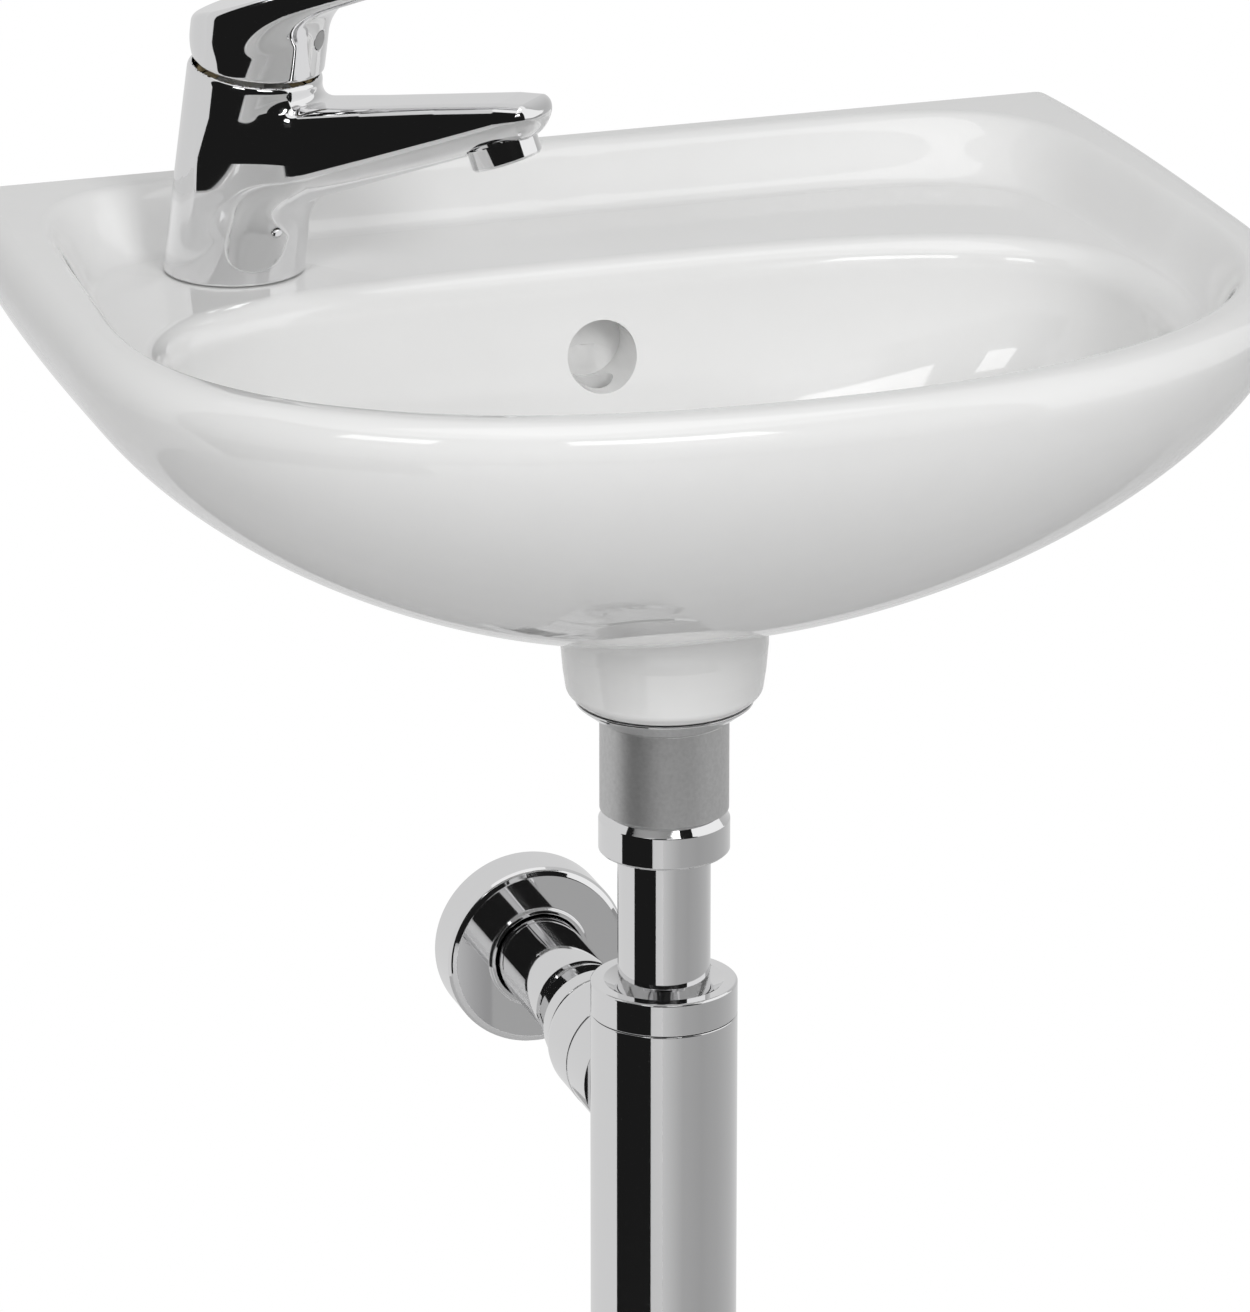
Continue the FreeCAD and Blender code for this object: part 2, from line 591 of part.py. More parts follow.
def tap_nut():
    """Long hexagon nut that pulls the body down."""
    across_flats, length = 13.0, 18.0
    corner = across_flats / 2 / math.cos(math.radians(30))
    foot = -SLAB - 5.3 - length
    outline = []
    for i in range(7):
        turn = math.radians(60 * i)
        outline.append(V(corner * math.cos(turn), corner * math.sin(turn) + STUD_Y, foot))
    nut = Part.Face(Part.makePolygon(outline)).extrude(V(0, 0, length))
    return stand(nut.cut(rod(STUD_R + 0.05, foot - 1, foot + length + 1, 0, STUD_Y)))


CAN_FOOT, CAN_TOP, NECK_TOP = 26.2, 58.0, 66.0
CAN_NECK_R = 13.6
STEM_BORE_R = 10.05      # inside the can's neck
CARRIER_FOOT = 44.3


def cartridge_body():
    """Ceramic-disc cartridge: a sealed can with a neck in which the carrier turns."""
    floor = CARRIER_FOOT - 0.3
    return lean(revolve([(0, CAN_FOOT), (CARTRIDGE_R, CAN_FOOT), (CARTRIDGE_R, CAN_TOP), (CAN_NECK_R, CAN_TOP),
                         (CAN_NECK_R, NECK_TOP), (STEM_BORE_R, NECK_TOP), (STEM_BORE_R, floor), (0, floor)]))


def cartridge_nut():
    """Ring nut over the can's shoulder."""
    bore, foot = CAN_NECK_R + 0.2, CAN_TOP + 0.1
    return lean(revolve([(bore, foot), (18.0, foot), (18.0, 62.2), (20.8, 62.2), (20.8, 64.6),
                         (19.2, NECK_TOP), (bore, NECK_TOP)]))


def pin_bar(r, half):
    return rod_between(r, V(0, -half, PIVOT), V(0, half, PIVOT))


def cartridge_carrier():
    """Turning carrier: a round stem with a fork for the lever's pin."""
    shoulder, slot_width = 68.0, 8.4
    stem = rod(10.0, CARRIER_FOOT, shoulder).fuse(rod(7.5, shoulder, PIVOT + 2.6))
    slot = Part.makeBox(24, slot_width, 60, V(-12, -slot_width / 2, 53))
    return lean(stem.cut(slot).cut(pin_bar(PIN_R + 0.05, 15)))


def cartridge_pin():
    """Steel pin across the fork; the lever's spindle swings on it."""
    return lean(pin_bar(PIN_R, 7.2))


def spindle_bar(width, thick, top):
    bar = Part.makeBox(width, thick, top + 26, V(-width / 2, -thick / 2, PIVOT - 26))
    return tilt(bar, SWING, V(0, 0, PIVOT))


def cartridge_spindle():
    """Flat spindle on the pin; its lower end drives the upper ceramic disc."""
    return lean(spindle_bar(6.4, 8.0, 10.6).cut(pin_bar(PIN_R + 0.03, 15)))


def cap_solid():
    """Round cap: a ball-shaped foot about the pivot, cut off above by the lever's sloping top."""
    foot = PIVOT - math.sqrt(CAP_R ** 2 - CAP_FOOT_R ** 2)
    top = PIVOT + 41
    half_turn = math.asin((PIVOT - foot) / CAP_R) / 2
    a = V(CAP_FOOT_R, 0, foot)
    b = V(CAP_R * math.cos(half_turn), 0, PIVOT - CAP_R * math.sin(half_turn))
    c = V(CAP_R, 0, PIVOT)
    sides = Part.makePolygon([c, V(CAP_R, 0, top), V(0, 0, top), V(0, 0, foot), a])
    edges = [Part.Arc(a, b, c).toShape()] + sides.Edges
    cap = tilt(Part.Face(Part.Wire(edges)).revolve(V(0, 0, 0), UP, 360))
    above = tilt(Part.makeBox(300, 200, 100, V(-150, -100, 0)), -LEVER_RISE)
    above.translate(V(0, 0, LEVER_TOP))
    return cap.cut(above)


# Lever stations: distance from the axis, thickness and width
ARM = [(8, 15, 38), (30, 12.0, 33), (46, 11.2, 27), (70, 10.2, 23.5), (94, 8.4, 22),
       (LEVER_REACH - 2, 6.6, 20.5), (LEVER_REACH, 4.6, 18)]
SCREW_IN, SCREW_OUT = V(4.0, 0, 92.6), V(30.0, 0, 87.4)
SCREW_HEAD = 17.2        # where the screw's bore widens for the index plug
SCREW_TOOL = 40.0        # the bore's tool reaches clear of the cap


def screw_bore(r, start, end):
    along = (SCREW_OUT - SCREW_IN).normalize()
    return Part.makeCylinder(r, end - start, SCREW_IN + along * start, along)


def lever():
    """The lever: cap and arm in one, hollow below for the fork, with a socket for the spindle."""
    rise = math.tan(math.radians(LEVER_RISE))
    sections = []
    for x, thick, width in ARM:
        top = LEVER_TOP + rise * x
        sections.append(section(x, top - thick, top, width))
    solid = cap_solid().fuse(loft(sections))
    fork_r, roof = 9.5, PIVOT + 6.4
    hollow = revolve([(0, PIVOT - 12), (CAP_INNER_R, PIVOT - 12), (CAP_INNER_R, PIVOT - 5),
                      (fork_r, PIVOT + 3.6), (fork_r, roof), (0, roof)])
    for tool in (hollow, spindle_bar(6.5, 8.1, 10.8), screw_bore(2.55, 0, SCREW_TOOL),
                 screw_bore(3.3, SCREW_HEAD, SCREW_TOOL)):
        solid = solid.cut(tilt(tool))
    return stand(solid)


def lever_screw():
    """Grub screw that clamps the lever on the spindle."""
    return lean(screw_bore(2.5, 1.4, 9.4))


def lever_index():
    """Small index plug that closes the screw's hole, flush with the cap."""
    return stand(tilt(screw_bore(3.2, SCREW_HEAD + 0.2, 30)).common(cap_solid()))


def aerator_housing():
    """Chrome ring screwed square into the spout's underside."""
    thread = AERATOR_SOCKET_R - 0.1
    bore = 8.6
    return stand(revolve([(bore, -2.0), (thread, -2.0), (thread, 2.4), (AERATOR_R, 2.4), (AERATOR_R, 8.8),
                          (AERATOR_R - 0.6, 9.6), (10.2, 9.6), (9.9, 8.6), (bore, 8.6)],
                         AERATOR_TOP, AERATOR_AXIS))


def aerator_insert():
    return stand(revolve([(0, 3.0), (8.5, 3.0), (8.5, 8.2), (0, 8.2)], AERATOR_TOP, AERATOR_AXIS))


def aerator_seal():
    return stand(pipe(AERATOR_SOCKET_R - 0.2, 8.0, -3.4, -2.1, AERATOR_TOP, AERATOR_AXIS))


PIECES = {
    "basin": basin,
    "wall_bushes": wall_bushes,
    "waste_flange": waste_flange,
    "flange_seal": flange_seal,
    "waste_body": waste_body,
    "plug_cage": plug_cage,
    "plug_stem": plug_stem,
    "plug_cap": plug_cap,
    "plug_seal": plug_seal,
    "plug_spring": plug_spring,
    "lower_seal": lower_seal,
    "waste_cup": waste_cup,
    "inlet_nut": inlet_nut,
    "inlet_washer": inlet_washer,
    "dip_tube": dip_tube,
    "trap_collar": trap_collar,
    "collar_seal": collar_seal,
    "trap_body": trap_body,
    "outlet_nut": outlet_nut,
    "outlet_cone": outlet_cone,
    "outlet_seal": outlet_seal,
    "wall_tube": wall_tube,
    "rosette": rosette,
    "rosette_ring": rosette_ring,
    "trap_cup": trap_cup,
    "cup_seal": cup_seal,
    "tap_body": tap_body,
    "tap_base_seal": tap_base_seal,
    "tap_stud": tap_stud,
    "tap_horseshoe_seal": tap_horseshoe_seal,
    "tap_horseshoe": tap_horseshoe,
    "tap_nut": tap_nut,
    "cartridge_body": cartridge_body,
    "cartridge_nut": cartridge_nut,
    "cartridge_carrier": cartridge_carrier,
    "cartridge_pin": cartridge_pin,
    "cartridge_spindle": cartridge_spindle,
    "lever": lever,
    "lever_screw": lever_screw,
    "lever_index": lever_index,
    "aerator_housing": aerator_housing,
    "aerator_insert": aerator_insert,
    "aerator_seal": aerator_seal,
}

os.makedirs("parts", exist_ok=True)
for name, make in PIECES.items():
    shape = make()
    box = shape.BoundBox
    print("%-20s valid %s solids %d volume %8d  z %.1f to %.1f" % (
        name, shape.isValid(), len(shape.Solids), shape.Volume, box.ZMin, box.ZMax))
    shape.exportStep("parts/%s.step" % name)
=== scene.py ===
import json
import math

import bmesh
import bpy
import numpy as np
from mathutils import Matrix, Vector


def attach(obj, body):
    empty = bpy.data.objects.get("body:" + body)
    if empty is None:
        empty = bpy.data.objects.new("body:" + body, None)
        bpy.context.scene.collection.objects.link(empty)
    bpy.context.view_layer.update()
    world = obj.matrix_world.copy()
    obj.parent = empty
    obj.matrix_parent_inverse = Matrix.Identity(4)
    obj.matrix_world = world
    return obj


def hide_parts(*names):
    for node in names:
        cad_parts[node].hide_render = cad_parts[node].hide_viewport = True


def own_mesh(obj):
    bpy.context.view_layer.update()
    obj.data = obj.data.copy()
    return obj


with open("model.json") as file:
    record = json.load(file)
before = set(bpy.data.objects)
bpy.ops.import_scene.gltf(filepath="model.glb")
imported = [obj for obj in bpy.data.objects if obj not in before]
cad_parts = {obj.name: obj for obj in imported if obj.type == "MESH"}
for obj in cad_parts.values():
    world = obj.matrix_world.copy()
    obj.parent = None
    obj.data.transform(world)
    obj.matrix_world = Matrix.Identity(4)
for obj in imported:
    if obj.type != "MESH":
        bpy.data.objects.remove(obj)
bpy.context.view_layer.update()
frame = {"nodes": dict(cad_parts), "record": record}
mm = 0.001  # pieces are worked out in millimetres, from the wall's face midway between the fixing holes


camera = {
    "place": (-0.88619, -2.8064, 0.92559),
    "yaw": -18.245,  # degrees, towards +X
    "pitch": -19.501,  # degrees, looking down
    "lens": 239.04,
    "filmWidth": 36.0,
}

studio = {
    "middle": (0, -0.15, 0),  # the lamps point here and the screens stand round it
    "ambient": 0.42,
    "lamps": {
        "key": {"place": (-1.9, -1.9, 1.1), "size": (0.8, 1.1), "power": 15.0},
        "fill": {"place": (0.35, -2.7, 1.4), "size": (0.8, 1.1), "power": 32.0},
        "top": {"place": (0.1, -0.3, 2.1), "size": (1.4, 1.0), "power": 4.0},
    },
    "floorColour": (0.72, 0.72, 0.72),
    "floorDrop": -0.75,
    "floorSize": 14.0,
}


def makeCamera():
    data = bpy.data.cameras.new("camera")
    data.lens = camera["lens"]
    data.sensor_width = camera["filmWidth"]
    data.clip_end = 100.0
    cam = bpy.data.objects.new("camera", data)
    cam.location = camera["place"]
    cam.rotation_euler = (math.radians(90 + camera["pitch"]), 0, math.radians(camera["yaw"]))
    bpy.context.scene.collection.objects.link(cam)
    bpy.context.scene.camera = cam


def makeLamps():
    for name, lamp in studio["lamps"].items():
        data = bpy.data.lights.new(name, "AREA")
        data.shape = "RECTANGLE"
        data.size, data.size_y = lamp["size"]
        data.energy = lamp["power"]
        obj = bpy.data.objects.new(name, data)
        bpy.context.scene.collection.objects.link(obj)
        way = Vector(studio["middle"]) - Vector(lamp["place"])
        obj.location = lamp["place"]
        obj.rotation_euler = way.to_track_quat("-Z", "Y").to_euler()


def makeWorld():
    # a soft even light, which the camera, mirrors and glass see as plain white
    world = bpy.data.worlds.new("studio")
    bpy.context.scene.world = world
    world.use_nodes = True
    tree = world.node_tree
    tree.nodes.clear()
    path = tree.nodes.new("ShaderNodeLightPath")
    cameraOrMirror = tree.nodes.new("ShaderNodeMath")
    cameraOrMirror.operation = "MAXIMUM"
    orGlass = tree.nodes.new("ShaderNodeMath")
    orGlass.operation = "MAXIMUM"
    soft = tree.nodes.new("ShaderNodeBackground")
    soft.inputs["Color"].default_value = (1, 1, 1, 1)
    soft.inputs["Strength"].default_value = studio["ambient"]
    white = tree.nodes.new("ShaderNodeBackground")
    white.inputs["Color"].default_value = (1, 1, 1, 1)
    white.inputs["Strength"].default_value = 1.0
    mix = tree.nodes.new("ShaderNodeMixShader")
    out = tree.nodes.new("ShaderNodeOutputWorld")
    tree.links.new(path.outputs["Is Camera Ray"], cameraOrMirror.inputs[0])
    tree.links.new(path.outputs["Is Glossy Ray"], cameraOrMirror.inputs[1])
    tree.links.new(cameraOrMirror.outputs[0], orGlass.inputs[0])
    tree.links.new(path.outputs["Is Transmission Ray"], orGlass.inputs[1])
    tree.links.new(orGlass.outputs[0], mix.inputs["Fac"])
    tree.links.new(soft.outputs[0], mix.inputs[1])
    tree.links.new(white.outputs[0], mix.inputs[2])
    tree.links.new(mix.outputs[0], out.inputs["Surface"])


def makeFloor():
    # pale and matt, and plain white to the camera
    mat = bpy.data.materials.new("paleFloor")
    mat.use_nodes = True
    tree = mat.node_tree
    shader = tree.nodes["Principled BSDF"]
    shader.inputs["Base Color"].default_value = (*studio["floorColour"], 1)
    shader.inputs["Roughness"].default_value = 0.9
    shader.inputs["Specular IOR Level"].default_value = 0.0
    out = tree.nodes["Material Output"]
    path = tree.nodes.new("ShaderNodeLightPath")
    glow = tree.nodes.new("ShaderNodeEmission")
    glow.inputs["Strength"].default_value = 1.0
    mix = tree.nodes.new("ShaderNodeMixShader")
    tree.links.new(path.outputs["Is Camera Ray"], mix.inputs["Fac"])
    tree.links.new(shader.outputs[0], mix.inputs[1])
    tree.links.new(glow.outputs[0], mix.inputs[2])
    tree.links.new(mix.outputs[0], out.inputs["Surface"])
    half = studio["floorSize"] / 2
    z = studio["floorDrop"]
    mesh = bpy.data.meshes.new("floor")
    corners = [(-half, -half, z), (half, -half, z), (half, half, z), (-half, half, z)]
    mesh.from_pydata(corners, [], [(0, 1, 2, 3)])
    mesh.materials.append(mat)
    floor = bpy.data.objects.new("floor", mesh)
    bpy.context.scene.collection.objects.link(floor)


# curved screens that only mirrors see, like cloth and softboxes hung around a camera; their glow is painted
# reflection: near black, the shaded floor and backdrop in grey, and the softboxes' highlights, and it lights
# nothing else
# turn in degrees from +X, low, high and reach in metres, glow from the turn's start to its end
screens = {
    "blackLeft": {"turn": (-186, -128), "low": -0.74, "high": 1.3, "reach": 0.95, "glow": (0.012, 0.012)},
    "blackFront": {"turn": (-128, -50), "low": -0.38, "high": 1.3, "reach": 0.95, "glow": (0.012, 0.012)},
    "greyRight": {"turn": (-110, 15), "low": -0.74, "high": -0.38, "reach": 0.96,
                  "glow": (0.62, 0.42, 0.38, 0.42, 0.5)},
    "greyBack": {"turn": (15, 174), "low": -0.74, "high": 1.3, "reach": 0.97,
                 "glow": (0.5, 0.72, 0.72, 0.72)},
    "boxLeft": {"turn": (-148, -127), "low": 0.6, "high": 0.92, "reach": 0.93, "glow": (3.2, 3.2)},
    "boxRight": {"turn": (-103, -75), "low": 0.6, "high": 0.92, "reach": 0.93, "glow": (3.2, 3.2)},
}


def makeScreens():
    # upright strips of a cylinder: (reach cos turn, reach sin turn, low to high)
    steps = 33
    for name, screen in screens.items():
        angle = np.radians(np.linspace(*screen["turn"], steps))
        x = screen["reach"] * np.cos(angle)
        y = screen["reach"] * np.sin(angle) + studio["middle"][1]
        rims = [np.stack([x, y, np.full(steps, screen[end])], -1) for end in ("low", "high")]
        quads = [(i, i + 1, i + 1 + steps, i + steps) for i in range(steps - 1)]
        mesh = bpy.data.meshes.new(name)
        mesh.from_pydata(np.vstack(rims), [], quads)
        # the painted reflection's glow, spread along the turn from its start to its end
        stops = np.linspace(0, 1, len(screen["glow"]))
        glow = np.interp(np.linspace(0, 1, steps), stops, screen["glow"])
        shade = mesh.color_attributes.new("glow", "FLOAT_COLOR", "POINT")
        shade.data.foreach_set("color", np.repeat(np.tile(glow, 2), 4))
        mat = bpy.data.materials.new(name)
        mat.use_nodes = True
        tree = mat.node_tree
        tree.nodes.clear()
        stored = tree.nodes.new("ShaderNodeAttribute")
        stored.attribute_name = "glow"
        light = tree.nodes.new("ShaderNodeEmission")
        out = tree.nodes.new("ShaderNodeOutputMaterial")
        tree.links.new(stored.outputs["Color"], light.inputs["Color"])
        tree.links.new(light.outputs[0], out.inputs["Surface"])
        mesh.materials.append(mat)
        obj = bpy.data.objects.new(name, mesh)
        bpy.context.scene.collection.objects.link(obj)
        obj.visible_camera = False
        obj.visible_diffuse = False
        obj.visible_shadow = False
        obj.visible_transmission = False


# rough is the smoothest spot and vary what the roughest adds, grain is the fine noise's scale,
# bump its strength and mottle how much it darkens the colour
finishes = {
    "ceramic": {"colour": (0.86, 0.86, 0.855), "metal": 0, "rough": 0.05, "vary": 0.02,
                "grain": 60, "bump": 0.02, "mottle": 0.02, "coat": 0.5},
    "chrome": {"colour": (0.82, 0.82, 0.825), "metal": 1, "rough": 0.03, "vary": 0.02,
               "grain": 45, "bump": 0, "mottle": 0.02, "coat": 0},
    "frosted_nickel": {"colour": (0.70, 0.70, 0.70), "metal": 1, "rough": 0.42, "vary": 0.06,
                       "grain": 700, "bump": 0.2, "mottle": 0.22, "coat": 0},
    "brass": {"colour": (0.72, 0.56, 0.30), "metal": 1, "rough": 0.25, "vary": 0.1,
              "grain": 300, "bump": 0.03, "mottle": 0.02, "coat": 0},
    "steel": {"colour": (0.60, 0.60, 0.60), "metal": 1, "rough": 0.28, "vary": 0.08,
              "grain": 300, "bump": 0.03, "mottle": 0.02, "coat": 0},
    "rubber": {"colour": (0.035, 0.035, 0.035), "metal": 0, "rough": 0.6, "vary": 0.1,
               "grain": 400, "bump": 0.1, "mottle": 0.02, "coat": 0},
    "plastic": {"colour": (0.74, 0.74, 0.72), "metal": 0, "rough": 0.38, "vary": 0.08,
                "grain": 400, "bump": 0.05, "mottle": 0.02, "coat": 0},
    "index_grey": {"colour": (0.33, 0.33, 0.33), "metal": 0, "rough": 0.25, "vary": 0.05,
                   "grain": 400, "bump": 0.02, "mottle": 0.02, "coat": 0},
}

texture = {
    "broadScale": 14.0, "broadDetail": 3.0, "fineDetail": 2.0,
    "bumpHeight": 0.0005,  # metres
    "coatRough": 0.02,
}


def surfaceGroup():
    # fine texture of a finish: an even colour with a faint mottle, a varying roughness and a height for bump
    group = bpy.data.node_groups.new("fineSurface", "ShaderNodeTree")
    inputs = {"Colour": "NodeSocketColor", "Rough": "NodeSocketFloat", "Vary": "NodeSocketFloat",
              "Grain": "NodeSocketFloat", "Mottle": "NodeSocketFloat"}
    outputs = {"Colour": "NodeSocketColor", "Roughness": "NodeSocketFloat", "Height": "NodeSocketFloat"}
    for name, kind in inputs.items():
        group.interface.new_socket(name, in_out="INPUT", socket_type=kind)
    for name, kind in outputs.items():
        group.interface.new_socket(name, in_out="OUTPUT", socket_type=kind)
    nodes, links = group.nodes, group.links
    start = nodes.new("NodeGroupInput")
    end = nodes.new("NodeGroupOutput")
    place = nodes.new("ShaderNodeTexCoord")
    broad = nodes.new("ShaderNodeTexNoise")
    broad.inputs["Scale"].default_value = texture["broadScale"]
    broad.inputs["Detail"].default_value = texture["broadDetail"]
    fine = nodes.new("ShaderNodeTexNoise")
    fine.inputs["Detail"].default_value = texture["fineDetail"]
    links.new(place.outputs["Object"], broad.inputs["Vector"])
    links.new(place.outputs["Object"], fine.inputs["Vector"])
    links.new(start.outputs["Grain"], fine.inputs["Scale"])
    minus = nodes.new("ShaderNodeMath")
    minus.operation = "MULTIPLY"
    minus.inputs[1].default_value = -1.0
    tint = nodes.new("ShaderNodeMath")  # 1 - mottle * fine noise
    tint.operation = "MULTIPLY_ADD"
    tint.inputs[2].default_value = 1.0
    links.new(start.outputs["Mottle"], minus.inputs[0])
    links.new(fine.outputs["Fac"], tint.inputs[0])
    links.new(minus.outputs[0], tint.inputs[1])
    shade = nodes.new("ShaderNodeVectorMath")
    shade.operation = "SCALE"
    links.new(start.outputs["Colour"], shade.inputs[0])
    links.new(tint.outputs[0], shade.inputs["Scale"])
    links.new(shade.outputs["Vector"], end.inputs["Colour"])
    spread = nodes.new("ShaderNodeMath")  # rough + vary * broad noise
    spread.operation = "MULTIPLY_ADD"
    links.new(broad.outputs["Fac"], spread.inputs[0])
    links.new(start.outputs["Vary"], spread.inputs[1])
    links.new(start.outputs["Rough"], spread.inputs[2])
    links.new(spread.outputs[0], end.inputs["Roughness"])
    links.new(fine.outputs["Fac"], end.inputs["Height"])
    return group


def makeFinish(name, look, group):
    mat = bpy.data.materials.new(name)
    mat.use_nodes = True
    nodes, links = mat.node_tree.nodes, mat.node_tree.links
    shader = nodes["Principled BSDF"]
    surface = nodes.new("ShaderNodeGroup")
    surface.node_tree = group
    surface.inputs["Colour"].default_value = (*look["colour"], 1)
    surface.inputs["Rough"].default_value = look["rough"]
    surface.inputs["Vary"].default_value = look["vary"]
    surface.inputs["Grain"].default_value = look["grain"]
    surface.inputs["Mottle"].default_value = look["mottle"]
    links.new(surface.outputs["Colour"], shader.inputs["Base Color"])
    links.new(surface.outputs["Roughness"], shader.inputs["Roughness"])
    shader.inputs["Metallic"].default_value = look["metal"]
    shader.inputs["Coat Weight"].default_value = look["coat"]
    shader.inputs["Coat Roughness"].default_value = texture["coatRough"]
    if look["bump"]:
        bump = nodes.new("ShaderNodeBump")
        bump.inputs["Strength"].default_value = look["bump"]
        bump.inputs["Distance"].default_value = texture["bumpHeight"]
        links.new(surface.outputs["Height"], bump.inputs["Height"])
        links.new(bump.outputs["Normal"], shader.inputs["Normal"])
    return mat


fineSurface = surfaceGroup()
paints = {name: makeFinish(name, look, fineSurface) for name, look in finishes.items()}


def paintCadNodes():
    slots = {part["node"]: part["material_slot"] for part in frame["record"]["subparts"]}
    for name, node in frame["nodes"].items():
        node.data.materials.clear()
        node.data.materials.append(paints[slots[name]])


def addPiece(name, mesh, body, finish, replaced):
    mesh.materials.clear()
    mesh.materials.append(paints[finish])
    obj = bpy.data.objects.new(name, mesh)
    bpy.context.scene.collection.objects.link(obj)
    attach(obj, body)
    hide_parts(*replaced)
    return obj


def gridMesh(name, points):
    # points has one row of places for each step along, each row a closed loop of quads to the next row
    rows, columns, _ = points.shape
    at = np.arange(rows * columns).reshape(rows, columns)
    right = np.roll(at, -1, axis=1)
    quads = np.stack([at[:-1], right[:-1], right[1:], at[1:]], -1).reshape(-1, 4)
    mesh = bpy.data.meshes.new(name)
    mesh.from_pydata(points.reshape(-1, 3) * mm, [], quads.tolist())
    shell = bmesh.new()
    shell.from_mesh(mesh)
    bmesh.ops.remove_doubles(shell, verts=shell.verts, dist=2e-6)  # closes poles and the last row
    bmesh.ops.dissolve_degenerate(shell, edges=shell.edges, dist=1e-7)
    bmesh.ops.recalc_face_normals(shell, faces=shell.faces)
    shell.to_mesh(mesh)
    shell.free()
    mesh.shade_smooth()
    return mesh


def roundedOutline(corners, steps=7):
    # each corner (radius, height, fillet) becomes a circular arc with a short straight run at both ends
    corner = np.array(corners, float)
    spot, fillet = corner[:, :2], corner[:, 2]
    back = np.roll(spot, 1, axis=0) - spot
    ahead = np.roll(spot, -1, axis=0) - spot
    backLong = np.linalg.norm(back, axis=1)
    aheadLong = np.linalg.norm(ahead, axis=1)
    back /= backLong[:, None]
    ahead /= aheadLong[:, None]
    half = np.arccos(np.clip((back * ahead).sum(1), -1, 1)) / 2
    reach = np.minimum(fillet / np.tan(np.maximum(half, 0.05)), 0.42 * np.minimum(backLong, aheadLong))
    t = np.linspace(0, 1, steps)[:, None, None]
    weight = np.sin(half)[None, :, None]
    start = spot + back * reach[:, None]
    end = spot + ahead * reach[:, None]
    share = (1 - t) ** 2 + 2 * t * (1 - t) * weight + t ** 2
    arc = ((1 - t) ** 2 * start + 2 * t * (1 - t) * weight * spot + t ** 2 * end) / share
    lead = spot + back * (reach * 1.15)[:, None]
    tail = spot + ahead * (reach * 1.15)[:, None]
    line = np.concatenate([lead[None], arc, tail[None]]).transpose(1, 0, 2).reshape(-1, 2)
    line = line[np.append(True, np.linalg.norm(np.diff(line, axis=0), axis=1) > 1e-6)]
    return np.vstack([line, line[:1]])


def turnedMesh(name, corners, centre, along=(0, 0, 1), around=144):
    # a closed outline of (radius, height) turned about the line through centre in the direction along
    line = roundedOutline(corners)
    angle = np.linspace(0, 2 * np.pi, around, endpoint=False)
    turn = np.array(Vector(along).normalized().to_track_quat("Z", "Y").to_matrix())
    r, h = line[:, :1], line[:, 1:]
    local = np.stack([r * np.cos(angle), r * np.sin(angle), h + 0 * angle], -1)
    return gridMesh(name, local @ turn.T + np.array(centre))


basin = {
    "rim": 76.0, "rimRoll": 11.0, "rimTop": 3.0,  # heights from the fixing holes, radii and widths
    "halfWidth": 209.5, "widest": -168.0, "front": 160.0, "back": 380.0,
    "frontPower": 2.3, "backPower": 2.9,  # squareness of the plan's two halves
    "depth": 128.0, "bellyP": 1.62, "bellyQ": 1.56,  # rim to the belly's lowest point, and its fullness
    "deck": 56.0, "lip": 5.0, "lipSlope": 26.0, "deckPower": 7.0, "backTaper": 0.045,
    "bowlBack": -81.0, "bowlInset": 31.0, "bowlRoll": 10.0, "bowlFloor": -31.0, "bowlPower": 3.2,
    "bowlP": 2.7, "bowlQ": 2.0,
    "waste": -161.0, "seat": -34.0, "seatR": 33.5, "holeR": 23.5,
    "bossR": 35.5, "bossFoot": -77.0, "bossFillet": 6.0,
    "around": 360, "sharp": 32.0,  # rays from the waste's axis, and degrees between faces at an edge
}

# round cutters: start, end, radius, faces around
basinHoles = {
    "boltHoleLeft": ((-70, -30, 0), (-70, 10, 0), 7, 64),
    "boltHoleRight": ((70, -30, 0), (70, 10, 0), 7, 64),
    "tapHole": ((-120, -55, 20), (-120, -55, 66), 17.5, 64),
    "overflowHole": ((0, -120, 24), (0, -74, 24), 12.5, 96),
    "overflowDuct": ((0, -80, 24), (0, -92, -29), 7, 64),
}

backPocket = {
    "top": {"x": (28, 160), "y": (-84, -14), "z": 42.0},
    "foot": {"x": (30, 118), "y": (-80, -14), "z": -70.0},
    "corner": 12.0,
}

rays = np.linspace(0, 2 * np.pi, basin["around"], endpoint=False)
dense = np.linspace(0, 2 * np.pi, 7200, endpoint=False)


def powered(c, p):
    # a cosine or sine made into a superellipse's coordinate
    return np.sign(c) * np.abs(c) ** (2.0 / p)


def reachOf(x, y):
    # how far a closed curve lies from the waste's axis in each ray's direction
    angle = np.arctan2(y - basin["waste"], x)
    order = np.argsort(angle)
    return np.interp(rays, angle[order], np.hypot(x, y - basin["waste"])[order], period=2 * np.pi)


def hullReach():
    # two half superellipses that meet at the widest place
    c, s = np.cos(dense), np.sin(dense)
    p = np.where(s >= 0, basin["frontPower"], basin["backPower"])
    length = np.where(s >= 0, basin["front"], basin["back"])
    return reachOf(basin["halfWidth"] * powered(c, p), basin["widest"] - length * powered(s, p))


def innerReach(inset, backEnd, backPower):
    # the front follows the outline at an inset, the back is a superellipse that runs along the wall
    c, s = np.cos(dense), np.sin(dense)
    widest = basin["widest"]
    half = basin["halfWidth"] - inset
    backY = widest - (backEnd - widest) * powered(s, backPower)
    frontY = widest - (basin["front"] - inset) * powered(s, basin["frontPower"])
    flare = 1 - basin["backTaper"] * (backY - widest) / -widest
    x = np.where(s >= 0, half * powered(c, basin["frontPower"]), half * flare * powered(c, backPower))
    return reachOf(x, np.where(s >= 0, frontY, backY))


